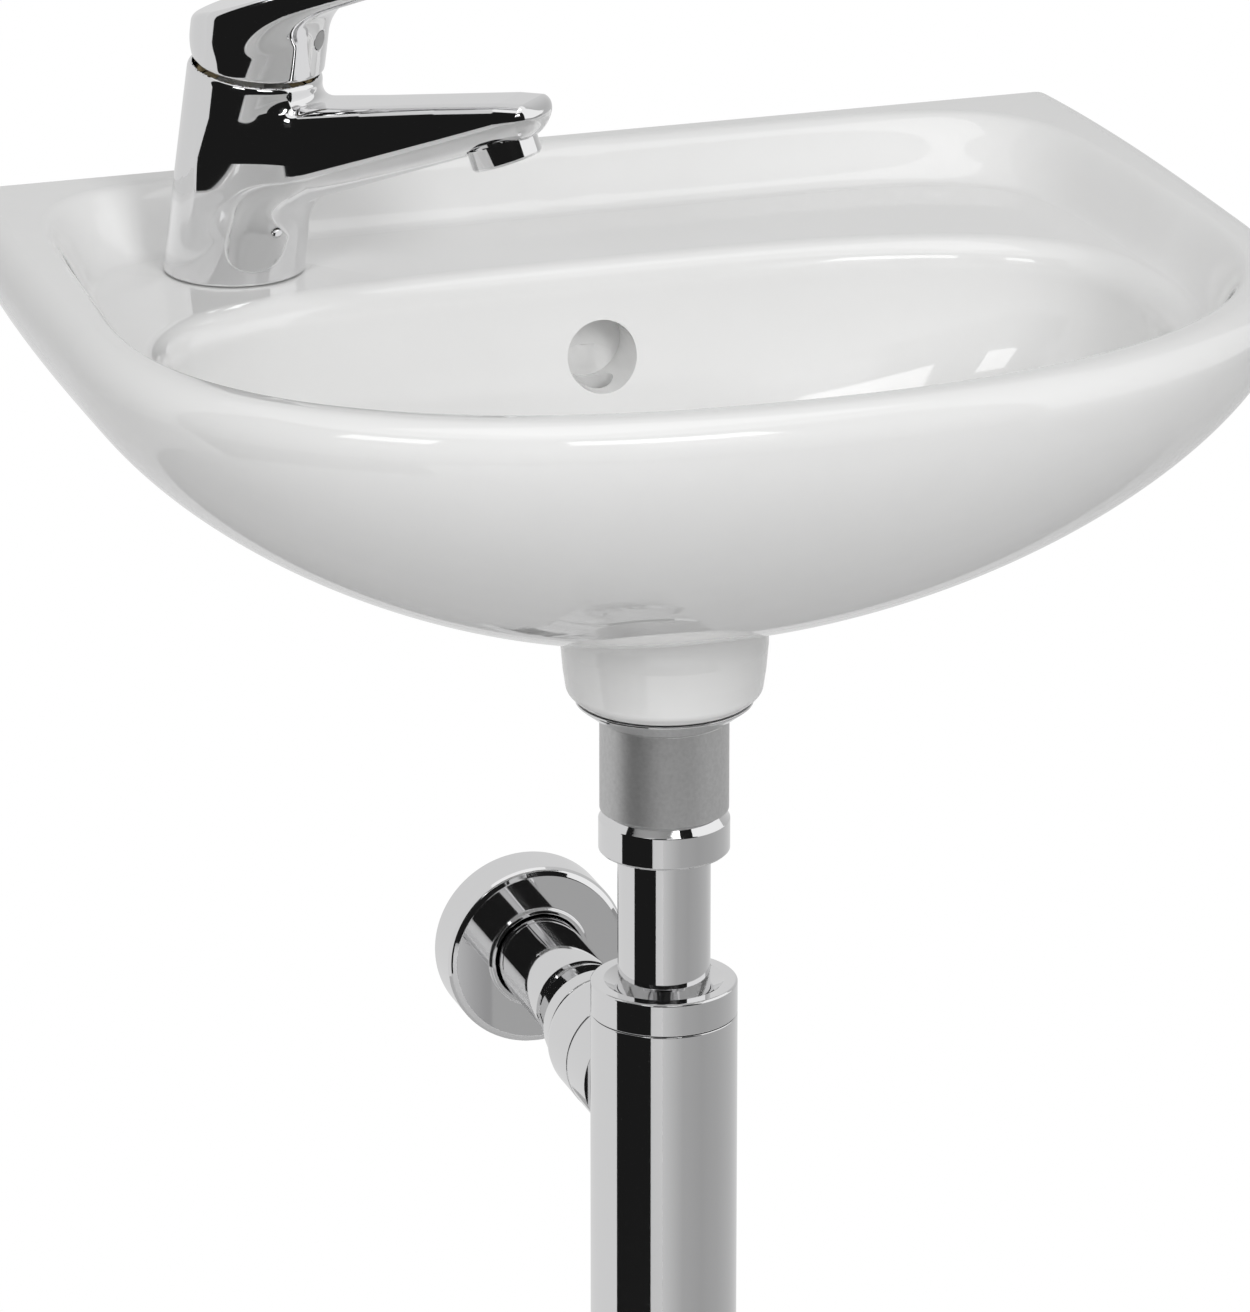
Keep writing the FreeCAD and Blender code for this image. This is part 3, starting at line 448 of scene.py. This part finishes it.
def basinRows():
    # one ring after another over the whole skin, each a reach for every ray and a height
    b = basin
    rows = []
    outline = hullReach()
    mouth = innerReach(b["bowlInset"] + b["bowlRoll"], b["bowlBack"] - b["bowlRoll"], b["bowlPower"])
    top = b["deck"] - b["bowlRoll"]
    # bowl: a quarter-superellipse wall scaled towards the waste, from the seat's edge up to the mouth
    last = np.arccos(((b["seatR"] + 1.0) / mouth) ** (b["bowlP"] / 2))
    for share in np.linspace(1, 0, 56):
        t = last * share
        rows.append((mouth * np.cos(t) ** (2 / b["bowlP"]),
                     top - (top - b["bowlFloor"]) * np.sin(t) ** (2 / b["bowlQ"])))
    # rolled mouth of the bowl: a quarter circle
    for turn in np.radians(np.arange(9, 91, 9)):
        grow = b["bowlRoll"] * (1 - math.cos(turn))
        inset = b["bowlInset"] + b["bowlRoll"] - grow
        rows.append((innerReach(inset, b["bowlBack"] - b["bowlRoll"] + grow, b["bowlPower"]),
                     top + b["bowlRoll"] * math.sin(turn)))
    # slope from the deck to the rim: half a cosine wave, which starts 1 mm from the bowl's mouth
    start = b["rimRoll"] + b["rimTop"]
    for u in np.linspace(1, 0, 19):
        rise = b["deck"] + (b["rim"] - b["deck"]) * (1 + math.cos(math.pi * u)) / 2
        inset = start + (b["bowlInset"] - start - 1) * u
        rows.append((innerReach(inset, -b["lip"] - b["lipSlope"] * u, b["deckPower"]), rise))
    # rolled edge of the rim: a quarter circle
    for turn in np.radians(np.arange(90, -1, -9)):
        rows.append((outline - b["rimRoll"] * (1 - math.cos(turn)),
                     b["rim"] - b["rimRoll"] * (1 - math.sin(turn))))
    # belly: superellipse drop that shrinks towards the waste, as far as the boss
    bossEdge = b["bossR"] + b["bossFillet"]
    last = np.arccos((bossEdge / outline) ** (b["bellyP"] / 2))
    drop = b["depth"] - b["rimRoll"]
    for share in np.linspace(0, 1, 64)[1:]:
        t = last * share
        rows.append((outline * np.cos(t) ** (2 / b["bellyP"]),
                     b["rim"] - b["rimRoll"] - drop * np.sin(t) ** (2 / b["bellyQ"])))
    # fillet into the boss: a quarter circle
    foot = rows[-1][1]
    for turn in np.radians(np.arange(11.25, 91, 11.25)):
        rows.append((bossEdge - b["bossFillet"] * math.sin(turn),
                     foot - b["bossFillet"] * (1 - math.cos(turn))))
    # boss, waste hole and seat
    boss = roundedOutline([(b["bossR"], -57, 1), (34.7, -66, 8), (33.6, b["bossFoot"] + 3.4, 4),
                           (30.0, b["bossFoot"], 2.5), (b["holeR"], b["bossFoot"], 0.8),
                           (b["holeR"], b["seat"], 0.8), (b["seatR"], b["seat"], 0.6),
                           (b["seatR"], b["bowlFloor"] - 0.3, 0.3)])
    rows += [(r, z) for r, z in boss[:-1]]
    rows.append(rows[0])
    reach = np.array([np.broadcast_to(r, rays.shape) for r, _ in rows])
    height = np.array([np.broadcast_to(z, rays.shape) for _, z in rows])
    return reach, height


def cutByWall(mesh):
    # the plane y = 0 takes off what lies behind the wall's face and is closed again
    shell = bmesh.new()
    shell.from_mesh(mesh)
    geometry = list(shell.verts) + list(shell.edges) + list(shell.faces)
    cut = bmesh.ops.bisect_plane(shell, geom=geometry, dist=1e-7, plane_co=(0, 0, 0), plane_no=(0, 1, 0),
                                 clear_outer=True)
    edges = [item for item in cut["geom_cut"] if isinstance(item, bmesh.types.BMEdge)]
    bmesh.ops.holes_fill(shell, edges=edges, sides=0)
    bmesh.ops.recalc_face_normals(shell, faces=shell.faces)
    shell.to_mesh(mesh)
    shell.free()


def holeMesh(name, start, end, r, around):
    # a plain rod from start to end
    way = Vector(end) - Vector(start)
    long = way.length
    return turnedMesh(name, [(0, 0, 0), (r, 0, 0), (r, long, 0), (0, long, 0)], start, way, around)


def pocketMesh(name, side):
    # two rounded rectangles joined from the foot to the top; a point in the middle closes each
    angle = np.linspace(0, 2 * np.pi, 64, endpoint=False)
    corner = backPocket["corner"]
    top, foot = backPocket["top"], backPocket["foot"]
    rows = []
    for level, grow in ((foot, 0.0), (foot, 1.0), (top, 1.0), (top, 0.0)):
        cx, cy = np.mean(level["x"]), np.mean(level["y"])
        hx, hy = np.ptp(level["x"]) / 2 - corner, np.ptp(level["y"]) / 2 - corner
        x = np.clip(np.cos(angle) * 99, -1, 1) * hx + corner * np.cos(angle)
        y = np.clip(np.sin(angle) * 99, -1, 1) * hy + corner * np.sin(angle)
        rows.append(np.stack([side * (cx + x * grow), cy + y * grow, level["z"] + 0 * x], -1))
    return gridMesh(name, np.array(rows))


def cutAway(mesh, cutters):
    base = bpy.data.objects.new("base", mesh)
    bpy.context.scene.collection.objects.link(base)
    for cutter in cutters:
        tool = bpy.data.objects.new("cutter", cutter)
        bpy.context.scene.collection.objects.link(tool)
        change = base.modifiers.new("cut", "BOOLEAN")
        change.operation = "DIFFERENCE"
        change.solver = "EXACT"
        change.object = tool
        bpy.context.view_layer.update()
        made = bpy.data.meshes.new_from_object(base.evaluated_get(bpy.context.evaluated_depsgraph_get()))
        base.modifiers.clear()
        base.data = made
        bpy.data.objects.remove(tool)
    result = base.data
    bpy.data.objects.remove(base)
    return result


def makeBasin():
    # every ray's reach turned about the waste's axis: (reach cos ray, waste + reach sin ray, height)
    reach, height = basinRows()
    points = np.stack([reach * np.cos(rays), basin["waste"] + reach * np.sin(rays), height], -1)
    mesh = gridMesh("basinShell", points)
    cutByWall(mesh)
    cutters = [pocketMesh("pocketRight", 1), pocketMesh("pocketLeft", -1)]
    cutters += [holeMesh(name, *hole) for name, hole in basinHoles.items()]
    mesh = cutAway(mesh, cutters)
    mesh.shade_smooth()
    mesh.set_sharp_from_angle(angle=math.radians(basin["sharp"]))
    addPiece("basinShell", mesh, "fixed", "ceramic", ["basin"])
    print("basin done,", len(mesh.polygons), "faces")


wasteY = basin["waste"]
wasteAxis = (0, wasteY, 0)
outletAxis = (0, wasteY, -225)
upward = (0, 0, 1)
wallward = (0, 1, 0)

# corners are (radius, height along the axis, fillet), round the section of the piece
turned = {
    "wasteFlange": {
        "at": (0, wasteY, -34), "along": upward, "body": "fixed", "finish": "chrome", "of": "waste_flange",
        "corners": [(17.0, -12, 0.2), (19.4, -12, 0.2), (19.4, 1.2, 0.1), (31.0, 1.2, 0.1), (32.5, 2.0, 0.4),
                    (32.0, 3.2, 0.5), (26.0, 4.0, 2), (18.5, 2.6, 1), (17.0, 0.5, 0.6)]},
    "plugCap": {
        "at": (0, wasteY, -21.8), "along": upward, "body": "plug", "finish": "chrome", "of": "plug_cap",
        "corners": [(0, -0.5, 0), (6.5, -0.5, 0.2), (6.5, 1.5, 0.2), (24.0, 1.5, 0.2), (24.0, 0.2, 0.2),
                    (28.5, 0.2, 0.4), (30.5, 1.6, 0.6), (30.0, 3.0, 0.8), (24.0, 4.8, 60), (15.0, 6.2, 90),
                    (7, 6.8, 120), (0, 6.8, 0)]},
    "wasteCup": {
        "at": wasteAxis, "along": upward, "body": "fixed", "finish": "chrome", "of": "waste_cup",
        "corners": [(21.0, -83.9, 0.1), (22.4, -83.9, 0.4), (24.5, -82.6, 2), (29.7, -78.6, 2),
                    (30.5, -77.9, 0.3), (30.5, -77.3, 0.2), (28.9, -77.3, 0.2), (28.7, -78.9, 0.2),
                    (21.0, -82.6, 0.2)]},
    "wasteBody": {
        "at": wasteAxis, "along": upward, "body": "fixed", "finish": "frosted_nickel", "of": "waste_body",
        "corners": [(19.5, -35.5, 0.2), (20.9, -35.5, 0.2), (20.9, -84.0, 0.1), (22.2, -84.0, 0.3),
                    (22.2, -117.0, 0.5), (19.6, -117.0, 0.2), (19.6, -126.2, 0.2), (17.2, -126.2, 0.2),
                    (17.2, -60, 1), (19.5, -57, 1)]},
    "inletNut": {
        "at": wasteAxis, "along": upward, "body": "fixed", "finish": "chrome", "of": "inlet_nut",
        "corners": [(16.4, -132.2, 0.1), (21.8, -132.2, 0.3), (22.6, -131.4, 0.4), (22.6, -120.6, 0.6),
                    (22.1, -119.9, 0.5), (20.2, -117.2, 0.6), (19.7, -117.2, 0.1), (19.7, -130.6, 0.1),
                    (16.4, -130.6, 0.1)]},
    "dipTube": {
        "at": wasteAxis, "along": upward, "body": "fixed", "finish": "chrome", "of": "dip_tube",
        "corners": [(15.0, -286, 0.2), (16.0, -286, 0.2), (16.0, -130.4, 0.2), (19.2, -130.4, 0.2),
                    (19.2, -129.0, 0.2), (15.0, -129.0, 0.2)]},
    "trapCollar": {
        "at": wasteAxis, "along": upward, "body": "fixed", "finish": "chrome", "of": "trap_collar",
        "corners": [(16.15, -185, 0.1), (16.15, -183.2, 0.2), (20.0, -180.6, 0.5), (20.8, -180, 0.4),
                    (24.8, -180, 0.6), (25.4, -180.6, 0.6), (25.4, -191.7, 0.3), (22.3, -191.7, 0.1),
                    (22.3, -185, 0.1)]},
    "trapBottle": {
        "at": wasteAxis, "along": upward, "body": "fixed", "finish": "chrome", "of": "trap_body",
        "corners": [(18.9, -188.8, 0.1), (22.0, -188.8, 0.1), (22.0, -192.0, 0.1), (25.4, -192.0, 0.4),
                    (25.4, -312, 0.4), (23.2, -312, 0.1), (23.2, -321, 0.1), (21.6, -321, 0.1),
                    (21.6, -309, 1), (23.9, -306, 2), (23.9, -196, 2), (18.9, -193, 1)]},
    "trapOutlet": {
        "at": outletAxis, "along": wallward, "body": "fixed", "finish": "chrome", "of": "trap_body",
        "corners": [(16.2, 20, 0.1), (22.5, 20, 0.1), (22.5, 39.6, 0.5), (20.2, 39.6, 0.1), (20.2, 55, 0.1),
                    (16.2, 55, 0.1)]},
    "outletNut": {
        "at": outletAxis, "along": wallward, "body": "fixed", "finish": "chrome", "of": "outlet_nut",
        "corners": [(20.3, 40, 0.1), (22.6, 40, 0.5), (22.6, 60, 2), (22.2, 62.5, 2), (21.0, 65, 1.5),
                    (17.4, 66.5, 0.5), (17.4, 61.5, 0.2), (20.3, 58.5, 0.5)]},
    "outletCone": {
        "at": outletAxis, "along": wallward, "body": "fixed", "finish": "chrome", "of": "outlet_cone",
        "corners": [(16.1, 66.9, 0.1), (20.3, 66.9, 0.6), (19.4, 76, 6), (17.6, 86, 8), (16.9, 92, 1),
                    (16.1, 94, 0.1)]},
    "wallTube": {
        "at": outletAxis, "along": wallward, "body": "fixed", "finish": "chrome", "of": "wall_tube",
        "corners": [(15, 30, 0.2), (16, 30, 0.2), (16, 161, 0.1), (15.8, 162, 0.1), (15.8, 190, 0.2),
                    (15.4, 191, 0.2), (15, 191, 0.1)]},
    "rosetteCover": {
        "at": outletAxis, "along": wallward, "body": "rosette", "finish": "chrome", "of": "rosette",
        "corners": [(33.5, 160.7, 0.2), (33.5, 144.5, 1.2), (32.7, 142.8, 1.2), (30.9, 142, 1.2),
                    (18.6, 142, 0.5), (18.2, 140.4, 0.4), (16.9, 140.4, 0.3), (16.4, 141.1, 0.2),
                    (16.4, 148, 0.1), (17.6, 148, 0.1), (17.6, 143.2, 0.5), (30.5, 143.2, 1),
                    (32.3, 145, 1), (32.3, 160.7, 0.2)]},
    "trapCup": {
        "at": wasteAxis, "along": upward, "body": "trap_cup", "finish": "chrome", "of": "trap_cup",
        "corners": [(0, -334, 0), (14, -333.5, 20), (21, -331.8, 12), (24.2, -329, 4), (25.4, -326, 3),
                    (25.4, -316.5, 0.3), (24.6, -316, 0.2), (24.6, -315, 0.2), (25.4, -314.5, 0.3),
                    (25.4, -312.35, 0.3), (23.55, -312.35, 0.1), (23.55, -323, 0.3), (20, -328, 1),
                    (0, -331, 0)]},
}


def makeTurned():
    for name, piece in turned.items():
        mesh = turnedMesh(name, piece["corners"], piece["at"], piece["along"])
        addPiece(name, mesh, piece["body"], piece["finish"], [piece["of"]])
    print("turned pieces done,", len(turned))


# foot and seat are the heights of the wire's start and of the spring's rest, push is the plug's travel
spring = {"turns": 4.25, "r": 5.6, "wire": 0.5, "foot": -36.4, "height": 13.3, "seat": -36.95, "push": 8.0,
          "steps": 170, "around": 14}


def makeSpring():
    # round wire along a helix: (r cos a, r sin a, foot + height * a / total)
    total = 2 * np.pi * spring["turns"]
    a = np.linspace(0, total, spring["steps"])
    climb = spring["height"] * a / total
    out = np.stack([np.cos(a), np.sin(a), 0 * a], -1)
    rise = spring["height"] / total
    along = np.stack([-spring["r"] * np.sin(a), spring["r"] * np.cos(a), 0 * a + rise], -1)
    along /= np.linalg.norm(along, axis=1)[:, None]
    across = np.cross(along, out)
    lift = np.stack([0 * a, 0 * a, spring["foot"] + climb], -1)
    middle = np.array(wasteAxis) + out * spring["r"] + lift
    turn = np.linspace(0, 2 * np.pi, spring["around"], endpoint=False)[None, :, None]
    rings = out[:, None] * np.cos(turn) + across[:, None] * np.sin(turn)
    points = middle[:, None] + rings * spring["wire"]
    # a point closes each end
    ends = [np.repeat(middle[i, None, None], spring["around"], axis=1) for i in (0, -1)]
    mesh = gridMesh("plugSpring", np.concatenate([ends[0], points, ends[1]]))
    coil = addPiece("plugSpring", mesh, "fixed", "steel", ["plug_spring"])
    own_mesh(coil)
    print("spring done")


# the tap's own axes: +X along the spout, +Z up, from the middle of its foot
tap = {
    "base": (-120.0, -55.0, 56.0), "lean": 7.5, "turn": -45.0,
    "footR": 24.2, "topR": 23.1, "foot": 0.5, "top": 74.0, "footEdge": 0.8, "topEdge": 3.0,
    "mouthR": 21.6, "mouthFrom": 62, "boreR": 18.2, "boreFrom": 26,
    "spoutX": [4, 30, 56, 84, 106, 115, 119.5],
    "spoutLow": [24, 29.5, 39, 49.5, 58.0, 61.5, 65.0],
    "spoutHigh": [62, 62.5, 66.5, 70.8, 74.0, 74.6, 73.0],
    "spoutWide": [36, 32, 27.5, 25.5, 25.5, 24.5, 20],
    "spoutTaper": 0.1, "spoutCorner": 11.0, "spoutEdge": 6.0, "spoutEnd": 4.0, "spoutRoot": 1.0,
    "neckHeights": [45, 62], "neckBlend": [12.0, 5.0],  # the spout's root is fuller below than above
    "aeratorTilt": 20.0, "aeratorTop": (102.6, 0, 61.0), "aeratorDepth": 2.2,
    "aeratorR": 12.2, "aeratorGap": 0.4,
    "cutEdge": 0.4,
    "cellLow": (-27, -26, -1), "cellHigh": (122, 26, 80), "cell": 0.68,
}

lever = {
    "pivot": 84.0, "capR": 23.4, "capFootR": 21.7, "capEdge": 1.2,
    "capFromBack": [-14, 2], "capBulge": [1.0, 0.25],  # round below at the back, which dips when lifted
    "top": 94.7, "rise": 19.16, "reach": 108.0, "topEdge": 2.4,
    "armX": [8, 30, 46, 70, 94, 106, 108],
    "armThick": [15, 12.0, 11.2, 10.2, 8.4, 6.6, 4.6],
    "armWide": [38, 33, 27, 23.5, 22, 20.5, 18],
    "armFrom": 8.0, "armCorner": 4.0, "armEnd": 3.0, "armRoot": 1.0, "armBlend": 9.0, "armOver": 3.0,
    "hollowR": 19.5, "hollowShoulder": 5, "hollowSlope": 1.16, "hollowTop": 6.4, "hollowEdge": 0.4,
    "screwFrom": (4.0, 0, 92.6), "screwTo": (30.0, 0, 87.4), "screwHead": 17.3,
    "screwR": 3.3, "screwEdge": 0.3,
    "cellLow": (-20, -26, 70), "cellHigh": (111, 26, 136), "cell": 0.7,
}


def softMin(a, b, k):
    # the smaller of two values, rounded off where they differ by less than k
    h = np.maximum(k - np.abs(a - b), 0) / k
    return np.minimum(a, b) - h * h * k / 4


def softMax(a, b, k):
    return -softMin(-a, -b, k)


def leanBack(p):
    # places in the leaning part's own upright axes
    a = math.radians(tap["lean"])
    x, z = p[..., 0], p[..., 2]
    return x * math.cos(a) - z * math.sin(a), p[..., 1], x * math.sin(a) + z * math.cos(a)


def barField(p, xs, low, high, wide, corner, taper=0.0):
    # distance-like value of a bar along x whose section is a rounded rectangle that changes with x
    x = p[..., 0]
    lo, hi, w = (np.interp(x, xs, v) for v in (low, high, wide))
    w = w - 2 * taper * (p[..., 2] - (lo + hi) / 2)
    r = np.minimum(corner, np.minimum(w, hi - lo) / 2 * 0.96)
    dy = np.abs(p[..., 1]) - (w / 2 - r)
    dz = np.abs(p[..., 2] - (lo + hi) / 2) - ((hi - lo) / 2 - r)
    return np.hypot(np.maximum(dy, 0), np.maximum(dz, 0)) + np.minimum(np.maximum(dy, dz), 0) - r


def tapField(p):
    # leaning cone joined to the spout's bar, less the cartridge's bore and aerator's socket; under 0 inside
    lx, ly, lz = leanBack(p)
    across = np.hypot(lx, ly)
    pillarR = np.interp(lz, [0, tap["top"]], [tap["footR"], tap["topR"]])
    pillar = softMax(across - pillarR, lz - tap["top"], tap["topEdge"])
    pillar = softMax(pillar, tap["foot"] - p[..., 2], tap["footEdge"])
    above = np.array(tap["spoutHigh"]) + 14  # past the cut below, so the top edges are nearly square
    spout = barField(p, tap["spoutX"], tap["spoutLow"], above, tap["spoutWide"], tap["spoutCorner"],
                     tap["spoutTaper"])
    roof = np.interp(p[..., 0], tap["spoutX"], tap["spoutHigh"])
    spout = softMax(spout, p[..., 2] - roof, tap["spoutEdge"])
    spout = softMax(spout, p[..., 0] - tap["spoutX"][-1], tap["spoutEnd"])
    spout = softMax(spout, tap["spoutX"][0] - p[..., 0], tap["spoutRoot"])
    blend = np.interp(p[..., 2], tap["neckHeights"], tap["neckBlend"])
    body = softMin(pillar, spout, blend)
    mouth = np.maximum(across - tap["mouthR"], tap["mouthFrom"] - lz)
    bore = np.maximum(across - tap["boreR"], tap["boreFrom"] - lz)
    body = softMax(body, -np.minimum(mouth, bore), tap["cutEdge"])
    tilt = math.radians(tap["aeratorTilt"])
    d = p - np.array(tap["aeratorTop"])
    down = d[..., 0] * math.sin(tilt) - d[..., 2] * math.cos(tilt)
    side = np.hypot(d[..., 0] * math.cos(tilt) + d[..., 2] * math.sin(tilt), d[..., 1])
    socket = np.maximum(side - tap["aeratorR"] - tap["aeratorGap"], tap["aeratorDepth"] - down)
    return softMax(body, -socket, tap["cutEdge"])


def leverField(p):
    # ball cap about the pivot joined to the arm's bar, under one slanting plane, less its hollow and hole
    lx, ly, lz = leanBack(p)
    across = np.hypot(lx, ly)
    below = np.minimum(lz - lever["pivot"], 0) * np.interp(lx, lever["capFromBack"], lever["capBulge"])
    cap = np.sqrt(across ** 2 + below ** 2) - lever["capR"]
    foot = lever["pivot"] - math.sqrt(lever["capR"] ** 2 - lever["capFootR"] ** 2)
    cap = softMax(cap, foot - lz, lever["capEdge"])
    slope = math.radians(lever["rise"])
    xs = np.array(lever["armX"], float)
    high = lever["top"] + math.tan(slope) * xs + lever["armOver"]
    low = high - lever["armOver"] - np.array(lever["armThick"])
    arm = barField(p, xs, low, high, lever["armWide"], lever["armCorner"])
    arm = softMax(arm, p[..., 0] - lever["reach"], lever["armEnd"])
    arm = softMax(arm, lever["armFrom"] - p[..., 0], lever["armRoot"])
    body = softMin(cap, arm, lever["armBlend"])
    plane = (p[..., 2] - lever["top"]) * math.cos(slope) - p[..., 0] * math.sin(slope)
    body = softMax(body, plane, lever["topEdge"])
    shoulder = np.maximum(lz - lever["pivot"] + lever["hollowShoulder"], 0)
    coneR = lever["hollowR"] - shoulder * lever["hollowSlope"]
    hollow = np.maximum(across - coneR, lz - lever["pivot"] - lever["hollowTop"])
    body = softMax(body, -hollow, lever["hollowEdge"])
    start, end = np.array(lever["screwFrom"]), np.array(lever["screwTo"])
    way = (end - start) / np.linalg.norm(end - start)
    offset = np.stack([lx, ly, lz], -1) - start
    along = offset @ way
    away = np.sqrt(np.maximum((offset ** 2).sum(-1) - along ** 2, 0))
    hole = np.maximum(away - lever["screwR"], lever["screwHead"] - along)
    return softMax(body, -hole, lever["screwEdge"])


def slopeOf(field, p, step=0.02):
    # central differences of the field along the three axes
    e = np.eye(3) * step
    return np.stack([field(p + e[i]) - field(p - e[i]) for i in range(3)], -1) / (2 * step)


def fieldMesh(name, field, low, high, step):
    # one vertex for each cell that the surface passes, pulled onto the surface along the field's slope
    axes = [np.arange(a, b + step, step) for a, b in zip(low, high)]
    inside = field(np.stack(np.meshgrid(*axes, indexing="ij"), -1)) < 0
    n = np.array(inside.shape)
    corners = sum(inside[i:n[0] - 1 + i, j:n[1] - 1 + j, k:n[2] - 1 + k].astype(int)
                  for i in (0, 1) for j in (0, 1) for k in (0, 1))
    active = (corners > 0) & (corners < 8)
    number = np.full(active.shape, -1)
    number[active] = np.arange(active.sum())
    points = np.array(low) + (np.argwhere(active) + 0.5) * step
    # a quad joins the four cells round each grid edge that the surface crosses
    quads = []
    for a in range(3):
        b, c = (a + 1) % 3, (a + 2) % 3
        first = np.take(inside, np.arange(n[a] - 1), axis=a)
        second = np.take(inside, np.arange(1, n[a]), axis=a)
        edge = np.argwhere(first != second)
        # no face is made on the grid's own border
        edge = edge[(edge[:, b] > 0) & (edge[:, c] > 0) & (edge[:, b] < n[b] - 1) & (edge[:, c] < n[c] - 1)]
        outwards = first[tuple(edge.T)]
        eb, ec = np.eye(3, dtype=int)[b], np.eye(3, dtype=int)[c]
        ring = np.stack([number[tuple((edge - d).T)] for d in (0 * eb, eb, eb + ec, ec)], -1)
        quads.append(np.where(outwards[:, None], ring, ring[:, ::-1]))
    for _ in range(5):
        slope = slopeOf(field, points)
        pull = field(points) / np.maximum((slope ** 2).sum(-1), 0.2)
        points = points - slope * np.clip(pull, -step, step)[:, None]
    turn = math.radians(tap["turn"])
    spin = np.array([[math.cos(turn), -math.sin(turn), 0], [math.sin(turn), math.cos(turn), 0], [0, 0, 1]])
    normals = slopeOf(field, points)
    normals /= np.linalg.norm(normals, axis=1)[:, None]
    mesh = bpy.data.meshes.new(name)
    mesh.from_pydata((points @ spin.T + np.array(tap["base"])) * mm, [], np.concatenate(quads).tolist())
    mesh.shade_smooth()
    mesh.normals_split_custom_set_from_vertices((normals @ spin.T).tolist())
    return mesh


def makeTap():
    body = fieldMesh("tapBody", tapField, tap["cellLow"], tap["cellHigh"], tap["cell"])
    addPiece("tapBody", body, "fixed", "chrome", ["tap_body"])
    handle = fieldMesh("tapLever", leverField, lever["cellLow"], lever["cellHigh"], lever["cell"])
    addPiece("tapLever", handle, "lever", "chrome", ["lever"])
    print("tap done,", len(body.polygons), "and", len(handle.polygons), "faces")


bpy.context.scene.view_settings.view_transform = "Standard"
makeCamera()
makeWorld()
makeFloor()
makeScreens()
makeLamps()
print("studio done")
paintCadNodes()
print("finishes done,", len(paints))
makeBasin()
makeTurned()
makeSpring()
makeTap()
